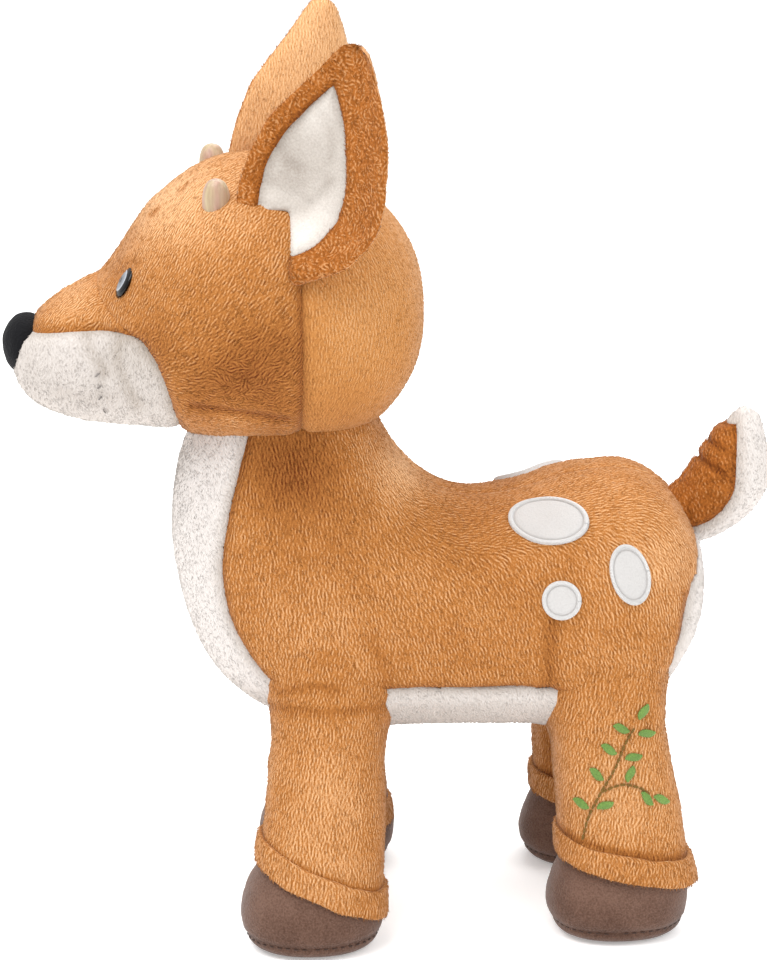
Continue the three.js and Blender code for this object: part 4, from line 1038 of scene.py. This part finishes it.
headBase, headNormals = evenForm(headRings, headValues)
headY, headZ = headBase[..., 1], headBase[..., 2]
jawSide = seamSide(headValues["jawSeam"], 90, (headZ > 270) & (headY > -30))
stopSide = seamSide(headValues["stopSeam"], 40, (headZ > 240) & (headY > -60))
backSide = headY - headValues["faceSeam"]
headWaves = waves(headBase, 83, headValues["waves"])
crownSeam = middleSeam(headBase, headValues["crownSeam"]) * (headZ > 235)
# The head's tone: painted shade in its creases, and soft painted light and shade, lightest on the crown and brow and
# darkest on the lower cheek.
headSink, headTone = drawCreases(headBase, headValues["creases"])
headTone = headTone + softShade(headBase, headValues["shades"])
headCurl = softShade(headBase, headValues["curls"])


def headLayer(side, depth, width, lift, share=1.0):
    # A panel's points, its normals and its tone, painted darker towards its seam as shade in the seam's furrow; the
    # seam of the stop is soft.
    soft = 1 - 0.92 * smoothStep(6, 2, np.abs(stopSide)) * smoothStep(0.5, 3, jawSide)
    height = headWaves * share + seamDip(side, depth * soft, width) - crownSeam + lift + headSink
    return *raised(headBase, headNormals, height), headTone - headValues["edge"] * soft * edgeBell(side, 1.8)


def faceLay(root, normal):
    # Up and back from the muzzle, steeper towards the brow and level on the lower cheek.
    rise = 0.1 + 0.75 * smoothStep(205, 250, root[:, 2]) + 0.7 * smoothStep(250, 285, root[:, 2])
    return vectors(0, 1, rise)


# panel: side inside its seam, the seam's depth and width with lift and share of waves, lay, curl, shade, finish,
# slot, nodes
headPanels = {
    "face": (np.minimum(np.minimum(jawSide, stopSide), -backSide), (1.4, 2.2, -0.3), faceLay, headCurl, 0, "caramel",
             "caramel_minky", ("face_left", "face_right", "head_stuffing")),
    "backHead": (backSide, (1.8, 2.2, -0.8, 0.7), straightLay(0, 0.25, -1), 0, 0, "smooth", "caramel_minky_smooth",
                 ("back_head_left", "back_head_right")),
    "muzzle": (np.minimum(jawSide, -stopSide), (1.2, 2.2, -0.2), faceLay, headCurl, 0, "caramel", "caramel_minky",
               ("muzzle_top",)),
    "jaw": (-jawSide, (1.6, 2.8, 0.0), straightLay(0, 0.45, -1), 25, -0.22, "white", "white_plush", ("jaw",)),
}
headSkins = {}
for name, (side, seam, lay, curl, shade, finish, slot, nodes) in headPanels.items():
    points, surface, tone = headLayer(side, *seam)
    fields = {"tone": tone + shade, "across": acrossLay(points, surface, lay, curl)}
    if name == "face":
        piece = closedSkin("faceSkin", points, **fields)
    else:
        piece = patchSkin(f"{name}Skin", points, surface, side > -1.7, **fields)
    dress(piece, f"{finish}Nap", slot, body="head", nodes=nodes, fill=0.9 if name == "face" else None)
    headSkins[name] = points, surface, side, tone + shade, lay, finish, slot

# panel, side, its sign or none for both, how far from the seam the pile is full, seed, tuft
for name, title, sign, full, seed, tuft in (
        ("face", "Left", 1, 1.2, 92, tuftValues), ("backHead", "Left", 1, 1.2, 96, smoothTuft),
        ("face", "Right", -1, 1.2, 90, tuftValues), ("backHead", "Right", -1, 1.2, 94, smoothTuft),
        ("muzzle", "", 0, 1.2, 98, tuftValues), ("jaw", "", 0, 1.5, 99, whiteTuft)):
    points, surface, side, tone, lay, finish, slot = headSkins[name]
    shown = smoothStep(0.2, full, side) * ((headBase[..., 0] * sign > 0) | (sign == 0))
    layPile(f"{name}Pile{title}", f"{finish}Tufts", slot, points, surface, shown, tone, lay, seed, tuft, body="head")
print("head made")

# ---- ears

earValues = {
    "height": 86, "width": 59, "pad": 6.6, "cup": 15, "tipCup": 4, "swell": 6, "lobe": 0.3, "rootRim": 8,
    # tone: the far, right ear is painted lighter, as painted light
    "root": (48, -46.5, 272.5), "sink": 9, "tone": {"left": 0.0, "right": 0.1}, "liningShift": 3.4,
    "rise": (0.0515, 0.3826, 0.9224), "seam": (0.5136, 0.5393, -0.6677), "frontRim": 10.5, "backRim": 18,
    "tipRim": 14, "squareness": 2.6, "lean": {"left": 0, "right": 5}, "tuck": 9, "step": 1.5, "around": 120,
    "waves": [(0.35, 12), (0.3, 5), (0.12, 2.2)], "inlay": 2.4, "curl": 80, "folds": 1.1, "grain": (0.35, 5),
    "rows": [  # up, front edge, back edge
        [0, -.13, .3], [.1, -.25, .46], [.19, -.32, .57], [.31, -.352, .635], [.42, -.355, .64],
        [.56, -.325, .575], [.7, -.24, .475], [.82, -.155, .35], [.91, -.095, .24], [.97, -.055, .15], [.995, .0, .06]],
    "creases": [([(264, 206), (292, 213), (316, 202), (330, 184)], 1.0, 2.4, 0.16),
                ([(282, 148), (288, 162), (300, 170)], 0.9, 2.0, 0.14),
                ([(322, 116), (332, 134), (334, 160)], 0.8, 2.2, 0.1)],
    "shades": [(300, 172, 34, -0.3), (326, 205, 24, 0.25), (300, 236, 22, 0.35), (318, 112, 20, 0.1)],
}
earRoot, earUp, earAcross = (np.array(earValues[key]) for key in ("root", "rise", "seam"))
earUp = unit(earUp)
earAcross = unit(earAcross - (earAcross @ earUp) * earUp)
earOut = np.cross(earAcross, earUp)
earLastUp = 1 - earValues["tipRim"] / earValues["height"]


def earPlace(across, up, out):
    # Root plus across, up and out along the ear's own three directions.
    place = earRoot + across[..., None] * earAcross + out[..., None] * earOut
    return place + (earValues["height"] * up - earValues["sink"])[..., None] * earUp


def earHollow(share, up):
    # Depth of the cup: full at the middle of the width, falling to none at the edges as 1 - a². At the root
    # it closes into a lobe that stands out.
    lobe = np.maximum(0, 1 - up / earValues["lobe"])
    depth = (earValues["cup"] + (earValues["tipCup"] - earValues["cup"]) * up) * (1 - lobe) - earValues["swell"] * lobe
    return -depth * (1 - share * share)


def earRings(params):
    # Across: middle + half cos^(2/n). Out: the cup's depth plus the pad's half thickness times sin^(2/n).
    up, front, back = (column[:, None] for column in smoothRows(earValues["rows"], params).T)
    angle = anglesOf(480)[None]
    share, face = (squared(f(angle), earValues["squareness"]) for f in (np.cos, np.sin))
    middle, half = earValues["width"] * (front + back) / 2, earValues["width"] * (back - front) / 2
    puff = np.minimum(1, 2.4 * (1 - up) + 0.35)
    return earPlace(middle + half * share, up + 0 * share, earHollow(share, up) + face * puff * earValues["pad"] / 2)


def earSpan(up):
    # At a height: the middle and the half of the width, and where the lining's edges lie from that middle.
    rows = denseLine(earValues["rows"], 200)
    front, back = (np.interp(up, rows[:, 0], earValues["width"] * rows[:, c]) for c in (1, 2))
    half = (back - front) / 2
    widening = 0.85 + 0.3 * up / earLastUp
    shift = earValues["liningShift"] * smoothStep(0.1, 0.4, up)
    return (front + back) / 2, half, earValues["frontRim"] * widening - shift - half, \
        half - earValues["backRim"] * widening - shift


def earLocal(points):
    # Share of the half width, share of the height, and millimetres inside the lining's edge.
    away = points - earRoot
    up = (away @ earUp + earValues["sink"]) / earValues["height"]
    middle, half, low, high = earSpan(up)
    across = away @ earAcross - middle
    edges = [across - low, high - across, up * earValues["height"] - earValues["rootRim"],
             (earLastUp - up) * earValues["height"] * 0.6]
    return across / half, up, np.min(edges, axis=0)


def earPosed(points, side):
    # Mirrored for the right ear, which is then turned forward about its root.
    turn = math.radians(earValues["lean"][side])
    flip = np.array([1 if side == "left" else -1, 1, 1])
    root = earRoot * flip
    away = points * flip - root
    y = away[..., 1] * math.cos(turn) - away[..., 2] * math.sin(turn)
    z = away[..., 1] * math.sin(turn) + away[..., 2] * math.cos(turn)
    return root + np.stack([away[..., 0], y, z], -1)


def tuckedRoot(points):
    # The front of the root goes in under the head's seam, in front of it in the picture.
    place = pixelOf(points)
    tuck = smoothStep(293, 284, place[..., 0]) * smoothStep(208, 222, place[..., 1])
    return points - earValues["tuck"] * (tuck * np.sign(points[..., 0]))[..., None] * np.array([1, 0, 0])


def liningGrid(rows=70, columns=46):
    # The cup's own surface between the rims: across from the front rim to the back rim, up to the tip rim.
    up = np.linspace(0.06, earLastUp + 0.03, rows)[:, None] + np.zeros((1, columns))
    middle, half, low, high = earSpan(up)
    low, high = low - 1.5, high + 1.5
    across = low + (np.maximum(high, low + 1) - low) * np.linspace(0, 1, columns)[None]
    share = across / half
    face = np.clip(1 - np.abs(share) ** earValues["squareness"], 0, 1) ** (1 / earValues["squareness"])
    return earPlace(middle + across, up, earHollow(share, up) + face * earValues["pad"] / 2)


def gridNormals(points, out):
    facing = unit(np.cross(np.gradient(points, axis=1), np.gradient(points, axis=0)))
    return facing * np.sign((facing @ out).mean())


def makeEar(side, title, seed):
    body = f"{side}_ear"
    base, normals = evenForm(earRings, earValues)
    edge = earLocal(base)[2]
    front = (normals @ earOut) > 0.15
    dip = np.where(front, -earValues["inlay"] * smoothStep(-1.0, 1.2, edge), 0)
    points = tuckedRoot(earPosed(base + normals * (waves(base, 101, earValues["waves"]) + dip)[..., None], side))
    surface = ringNormals(points)
    tipward, outward = (earPosed(earRoot + way, side) - earPosed(earRoot, side) for way in (earUp, earOut))
    lay = straightLay(*tipward)
    rim = smoothStep(-0.3, 0.2, normals @ earOut)                  # the smoother back of the ear where 0
    # Painted light on the far ear, painted shade along the lining's seam on the front; the back of the ear a little
    # lighter.
    tone = earValues["tone"][side] - 0.25 * bell(edge, 1.6) * front + 0.1 * (1 - rim)
    skin = closedSkin(f"earSkin{title}", points, tone=tone,
                      across=acrossLay(points, surface, lay, earValues["curl"] * rim, 3))
    dress(skin, "earNap", "ear_minky", body=body, nodes=(f"ear_{side}",), fill=0.6)
    skin.data.materials.append(materials["smoothNap"])
    backOfEar = rim.reshape(-1)[gridFaces(*rim.shape)].mean(axis=1) < 0.5
    indices = np.concatenate([backOfEar, np.zeros(len(skin.data.polygons) - len(backOfEar))]).astype(np.int32)
    skin.data.polygons.foreach_set("material_index", indices)
    shown = np.where(front & (edge > 0), 0.0, 1.0) * smoothStep(0.4, 0.6, rim)
    layPile(f"earPile{title}", "earTufts", "ear_minky", points, surface, shown, tone, lay, seed, earTuft, body=body)
    layPile(f"earBackPile{title}", "smoothTufts", "ear_minky", points, surface, smoothStep(0.6, 0.4, rim), tone, lay,
            seed + 10, smoothTuft, body=body)

    lining = liningGrid()
    share, up, inset = earLocal(lining)
    folds = valueNoise(vectors(share * 3.2 + 2 * up, up * 1.6, 0), 107)
    height = 0.2 + seamDip(inset, 1.2, 3.0, 1.6) + earValues["folds"] * folds + waves(lining, 108, [earValues["grain"]])
    lined = earPosed(lining + gridNormals(lining, earOut) * height[..., None], side)
    sink, shade = drawCreases(lined, earValues["creases"])
    lined = tuckedRoot(lined + (sink * (1 if side == "left" else -1))[..., None] * np.array([1, 0, 0]))
    # Painted light on the folds' ridges and shade in their hollows, painted shade along the seam and in the creases,
    # and the soft painted light and shade of the shades.
    tone = 0.2 * folds - 0.3 * edgeBell(inset, 2) + shade + softShade(lined, earValues["shades"])
    piece = patchSkin(f"earLining{title}", lined, gridNormals(lined, outward), np.ones(lined.shape[:2], bool), 1.2,
                      wrap=False, tone=tone)
    dress(piece, "whiteVelour", "white_velour", body=body, nodes=(f"ear_lining_{side}",))


makeEar("left", "Left", 105)
makeEar("right", "Right", 106)
print("ears made")

# ---- tail

tailValues = {
    "pivot": (0, 110.5, 153.5), "reach": 26.5, "rise": 42.5, "thickness": 26, "width": 27, "step": 1.2, "around": 110,
    "rows": [  # along, up, thickness, width
        [0, 0, .86, .76], [.38, .12, 1.04, .93], [.7, .35, 1.16, 1], [.82, .62, .94, .84], [.91, .86, .56, .52],
        [.93, .96, .24, .24], [.935, .985, .04, .04]],
    "tip": 4.2,                                                    # how far the brown stops below the top
    "folds": [(0.48, 1.2), (0.7, 1.0), (0.88, 0.6)],               # share of the rise and depth in millimetres
    "waves": [(0.35, 8), (0.2, 2.6)], "ridge": (0.8, 1.4), "squareness": 2.1,
}


def tailPlace(along, up):
    _, y, z = tailValues["pivot"]
    return y + tailValues["reach"] * along, z + tailValues["rise"] * up


def tailRings(params):
    # Ovals square to a curved centre line in side view; thickness and width come from the table.
    values, rows = tailValues, smoothRows(tailValues["rows"], params)
    last = len(values["rows"]) - 1
    before, after = (smoothRows(values["rows"], np.clip(params + move, 0, last)) for move in (-0.05, 0.05))
    run = unit((after - before)[:, :2] * (values["reach"], values["rise"]))
    across = vectors(0, -run[:, 1], run[:, 0]) * (rows[:, 2:3] * values["thickness"] / 2)
    return ovalRings(vectors(0, *tailPlace(rows[:, 0], rows[:, 1])), vectors(rows[:, 3] * values["width"] / 2, 0, 0),
                     across, values["squareness"])


def makeTail(values):
    lay = straightLay(0, 0.5, 1)
    base, normals = evenForm(tailRings, values)
    along, up = denseLine(values["rows"], 70).T[:2]
    seam = np.stack(tailPlace(along + 0.12 - 0.3 * up, up - 0.09), -1)
    side = polylineDistance(seam, base[..., 1], base[..., 2])      # brown where positive
    side = np.minimum(side, base[..., 2].max() - values["tip"] - base[..., 2])
    level = (base[..., 2] - values["pivot"][2]) / values["rise"] + 0.04 * valueNoise(base / 12, 110)
    level = level + 0.36 * ((base[..., 1] - values["pivot"][1]) / values["reach"] - 0.45)
    sink = -sum(depth * bell(level - share, 0.035) for share, depth in values["folds"]) * smoothStep(1, 7, side)
    ridge = middleSeam(base, values["ridge"]) * smoothStep(4, 9, side)
    lift = waves(base, 111, values["waves"])
    points, surface = raised(base, normals, lift + sink - ridge + seamDip(side, 1.4, 2.0))
    # A little darker all over, with painted shade in the folds and along the seam.
    tone = -0.05 + 0.25 * sink - 0.18 * edgeBell(side, 2)
    skin = closedSkin("tailSkin", points, tone=tone, across=acrossLay(points, surface, lay))
    dress(skin, "earNap", "ear_minky", body="tail", nodes=("tail_top", "tail_stuffing"), fill=0.7)
    layPile("tailPile", "earTufts", "ear_minky", points, surface, smoothStep(0.2, 1.0, side), tone, lay, 113, earTuft,
            body="tail")
    points, surface = raised(base, normals, lift + 0.3 + seamDip(-side, 1.4, 2.4))
    # The white is a little darker all over, with painted shade along its seam.
    tone = -0.1 - 0.2 * edgeBell(-side, 3)
    under = patchSkin("tailUnderside", points, surface, side < 1.6, tone=tone, across=acrossLay(points, surface, lay))
    dress(under, "whiteNap", "white_plush", body="tail", nodes=("tail_underside",))
    layPile("tailWhitePile", "whiteTufts", "white_plush", points, surface, smoothStep(-0.2, -1.2, side), tone, lay, 114,
            whiteTuft, body="tail")


makeTail(tailValues)
print("tail made")

# ---- nose, eyes and antlers

noseValues = {"centre": (0, -135, 225), "half": (13.5, 9.5, 11.5), "waves": [(0.35, 6), (0.1, 1.8)]}
eyeValues = {"centre": (27.3, -98.6, 254.0), "facing": (0.15, -0.87, 0.47), "radius": 6.5, "rim": -0.35, "crown": 1.7,
             "dome": [[.95, .33], [.78, .62], [.5, .87], [.22, .98]]}  # shares of the radius and the crown
antlerValues = {"centre": (34.5, -65, 282.5), "radius": 5, "length": 21, "lean": 12,
                "profile": [[.01, -.5], [.9, -.42], [1, -.1], [1, .12], [.93, .28], [.72, .41], [.4, .48], [.006, .5]]}


def makeNose(values):
    # A ball stretched to three half sizes: rings of cos by latitude, from its back to its front.
    latitude = np.linspace(-0.5, 0.5, 46)[1:-1, None] * np.pi
    longitude = anglesOf(90)[None]
    ball = vectors(np.cos(latitude) * np.cos(longitude), -np.sin(latitude), np.cos(latitude) * np.sin(longitude))
    base = np.array(values["centre"]) + ball * np.array(values["half"])
    points = base + ringNormals(base) * waves(base, 121, values["waves"])[..., None]
    dress(closedSkin("noseSkin", points), "noseVelour", "nose_velour", body="head", nodes=("nose",), fill=0.9)


def turnedForm(profile, centre, axis, around, count):
    # Each ring: centre + height along the axis, radius round it, both read from a smooth profile.
    side = unit(np.cross(axis, (0.3, 0.2, 0.9)))
    radius, height = denseLine(profile, count).T
    angle = anglesOf(around)[None, :, None]
    ring = np.cos(angle) * side + np.sin(angle) * np.cross(axis, side)
    return centre + height[:, None, None] * axis + np.maximum(radius, 0.02)[:, None, None] * ring


def makeEye(values, side, sign):
    r, rim, crown = values["radius"], values["rim"], values["crown"]
    profile = [[0.05, -2.6], [0.8 * r, -1.6], [r, -0.2], [r, rim]] \
        + [[share * r, rim + rise * crown] for share, rise in values["dome"]] + [[0.02, rim + crown]]
    centre, facing = (np.array(values[key]) * (sign, 1, 1) for key in ("centre", "facing"))
    facing = unit(facing)
    points = turnedForm(profile, centre, facing, 64, 40)
    height = (points - centre) @ facing
    radial = np.sqrt(np.maximum(((points - centre) ** 2).sum(axis=-1) - height ** 2, 0)) / r + (height < 0)
    dress(closedSkin(f"eye{side}", points, radial=radial), "eyePlastic", "eye_plastic", body="head",
          nodes=(f"eye_{side.lower()}",))


def makeAntler(values, side, sign):
    profile = np.array(values["profile"]) * (values["radius"], values["length"])
    lean = math.radians(values["lean"])
    points = turnedForm(profile, np.array(values["centre"]) * (sign, 1, 1),
                        np.array([sign * math.sin(lean), 0, math.cos(lean)]), 72, 50)
    dress(closedSkin(f"antler{side}", points), "antlerSatin", "antler_satin", body="head",
          nodes=(f"antler_{side.lower()}",), fill=1)


makeNose(noseValues)
for side, sign in bothSides:
    makeEye(eyeValues, side, sign)
    makeAntler(antlerValues, side, sign)
print("nose, eyes and antlers made")

# ---- applique spots

spotValues = {
    "border": 1.5, "height": 0.9,
    "spots": {
        "large": dict(place=(56.8, 162), length=29.4, height=20.6, turn=-16, tilt=34),
        "small": dict(place=(59.8, 136.5), length=14.4, height=14.4, turn=0, tilt=10),
        "rear": dict(place=(85.2, 145.3), length=14.6, height=22.6, turn=14, tilt=18),
    },
}
flank = (trunkBase[..., 0] > 8) & (trunkBase[..., 1] > 20) & (trunkBase[..., 1] < 112) & (trunkBase[..., 2] > 110)
flankCloud = trunkBase[flank], trunkNormals[flank]


def makeSpot(name, spot, side, sign):
    # An oval of rings, share r of its half axes and angle a round it, laid on the flank; its height over
    # the skin is the cloth's, with a raised satin border near r = 1 and a rim that goes under.
    tilt, turn = math.radians(spot["tilt"]), math.radians(spot["turn"])
    direction = np.array([math.cos(tilt), 0, math.sin(tilt)])
    along = np.array([0, math.cos(turn), 0]) + math.sin(turn) * np.array([-math.sin(tilt), 0, math.cos(tilt)])
    upward = np.cross(direction, along)
    radius = np.concatenate([np.linspace(0.03, 0.8, 14), np.linspace(0.83, 1.0, 13), [1.015, 1.02]])
    angle = anglesOf(150)
    a, b = spot["length"] / 2, spot["height"] / 2
    start = np.array([[flankCloud[0][:, 0].max() * 0.9, *spot["place"]]])
    middle, _ = ontoSkin(start, np.array([1.0, 0, 0]), *flankCloud)
    oval = a * np.cos(angle)[None, :, None] * along + b * np.sin(angle)[None, :, None] * upward
    placed, facing = ontoSkin(middle[0] + radius[:, None, None] * oval, direction, *flankCloud)
    inset = (1 - radius)[:, None] * (a + b) / 2
    border = spotValues["border"]
    height = spotValues["height"] + 0.45 * np.sin(np.pi * np.clip(inset / border, 0, 1)) ** 0.7 \
        - 0.35 * bell(inset - border - 0.35, 0.3) + 0.12 * valueNoise(placed / 5, 131) \
        - 2.2 * smoothStep(0.999, 1.015, radius)[:, None]
    points = (placed + unit(facing) * height[..., None]) * (sign, 1, 1)
    shapes = [gridFaces(*points.shape[:2]), endFans(*points.shape[:2])[0]]
    if sign * (np.cross(along, upward) @ direction) > 0:
        shapes = [shape[:, ::-1] for shape in shapes]
    piece = meshPiece(f"spot{name.capitalize()}{side}", withEnds(points)[:-1], shapes)
    rim = np.broadcast_to(np.clip(inset / border, 0, 1.5), points.shape[:2])
    setAttribute(piece, "inset", np.append(rim.ravel(), 1.5))
    setAttribute(piece, "around", np.append(np.tile(angle * (a + b) / 2, len(radius)), 0))
    dress(piece, "spotFelt", "white_applique", body="torso", nodes=(f"spot_{name}_{side.lower()}",))


for name, spot in spotValues["spots"].items():
    for side, sign in bothSides:
        makeSpot(name, spot, side, sign)
print("spots made")

# ---- embroidered sprig and loose stitches

sprigValues = {
    "stem": [(582, 838), (588, 814), (600, 790), (614, 766), (624, 742), (636, 722)],
    "twig": [(600, 790), (620, 783), (638, 786), (650, 794)],
    "stitch": 6.5, "thread": 0.45, "leafLength": 6.4, "leafWidth": 3.4, "threads": 10,
    "leaves": [  # place in the picture and direction in degrees
        (588, 806, 150), (596, 806, 20), (602, 778, 140), (615, 752, 150), (624, 757, 10), (628, 730, 160),
        (638, 718, 60), (637, 733, 5), (626, 780, 70), (640, 790, -50), (652, 795, -20)],
}
jawStitchValues = {
    "thread": 0.35, "ends": [((96, 377), (101, 373)), ((98, 388), (103, 385)), ((99, 399), (103, 395)),
                             ((103, 408), (106, 412))]}


def fromPicture(pixels, ahead, points, surface, shown):
    # Where lines of sight through pixels meet a skin: from a plane so far to the side, slid along the view.
    ray = -viewBack * focalPixels + (pixels[..., :1] - middleX) * viewRight - (pixels[..., 1:] - middleY) * viewUp
    start = viewPlace * 1000 + ray * ((ahead - viewPlace[0] * 1000) / ray[..., :1])
    placed, facing = ontoSkin(start, viewBack, points[shown], unit(surface[shown]))
    return placed, unit(facing)


def makeSprig(values, points, surface):
    skin = 48.0, points, surface, surface[..., 0] > 0.1
    stitches = [stitchesAlong(denseLine(values[line], 200), values["stitch"], 0.94)[0] for line in ("stem", "twig")]
    placed, facing = fromPicture(np.concatenate(stitches), *skin)
    stem = makeThreads("sprigStem", placed + facing * 0.5, facing, values["thread"])
    dress(stem, "threadBrown", "white_applique", body="hind_left_leg")
    # A leaf is satin stitch: slanting threads across it, each as wide as sin(pi t) of the leaf's width at t.
    leaves = np.array(values["leaves"], float)
    turn = np.radians(leaves[:, 2])[:, None, None, None]
    share = np.linspace(0.06, 0.94, values["threads"])[None, :, None, None]
    reach = np.linspace(-0.5, 0.5, 7)[None, None, :, None] * np.sin(np.pi * share) ** 0.7 * values["leafWidth"]
    forward = values["leafLength"] * share + 0.55 * reach
    ahead, aside = (np.concatenate(pair, -1) for pair in ((np.cos(turn), -np.sin(turn)), (np.sin(turn), np.cos(turn))))
    pixels = leaves[:, None, None, :2] + cameraValues["pixelsPerMm"] * (forward * ahead + reach * aside)
    placed, facing = fromPicture(pixels.reshape(-1, 7, 2), *skin)
    arch = 0.35 * np.cos(np.linspace(-1.3, 1.3, 7))[None, :, None]
    leaf = makeThreads("sprigLeaves", placed + facing * (0.3 + arch), facing, values["thread"] * 1.15)
    dress(leaf, "threadGreen", "white_applique", body="hind_left_leg")


def makeJawStitches(values, points, surface):
    ends = np.array(values["ends"], float)
    lines = ends[:, :1] + (ends[:, 1:] - ends[:, :1]) * np.linspace(0, 1, 8)[None, :, None]
    placed, facing = fromPicture(lines, 28.0, points, surface, (surface[..., 0] > 0.1) & (jawSide < -1))
    for side, sign in bothSides:
        flip = np.array([sign, 1, 1])
        stitches = makeThreads(f"jawStitches{side}", (placed + facing * 0.7) * flip, facing * flip, values["thread"], 6)
        dress(stitches, "threadGrey", "white_plush", body="head")


makeSprig(sprigValues, *legSurfaces["hind_left"])
makeJawStitches(jawStitchValues, *headSkins["jaw"][:2])
print("sprig and stitches made")
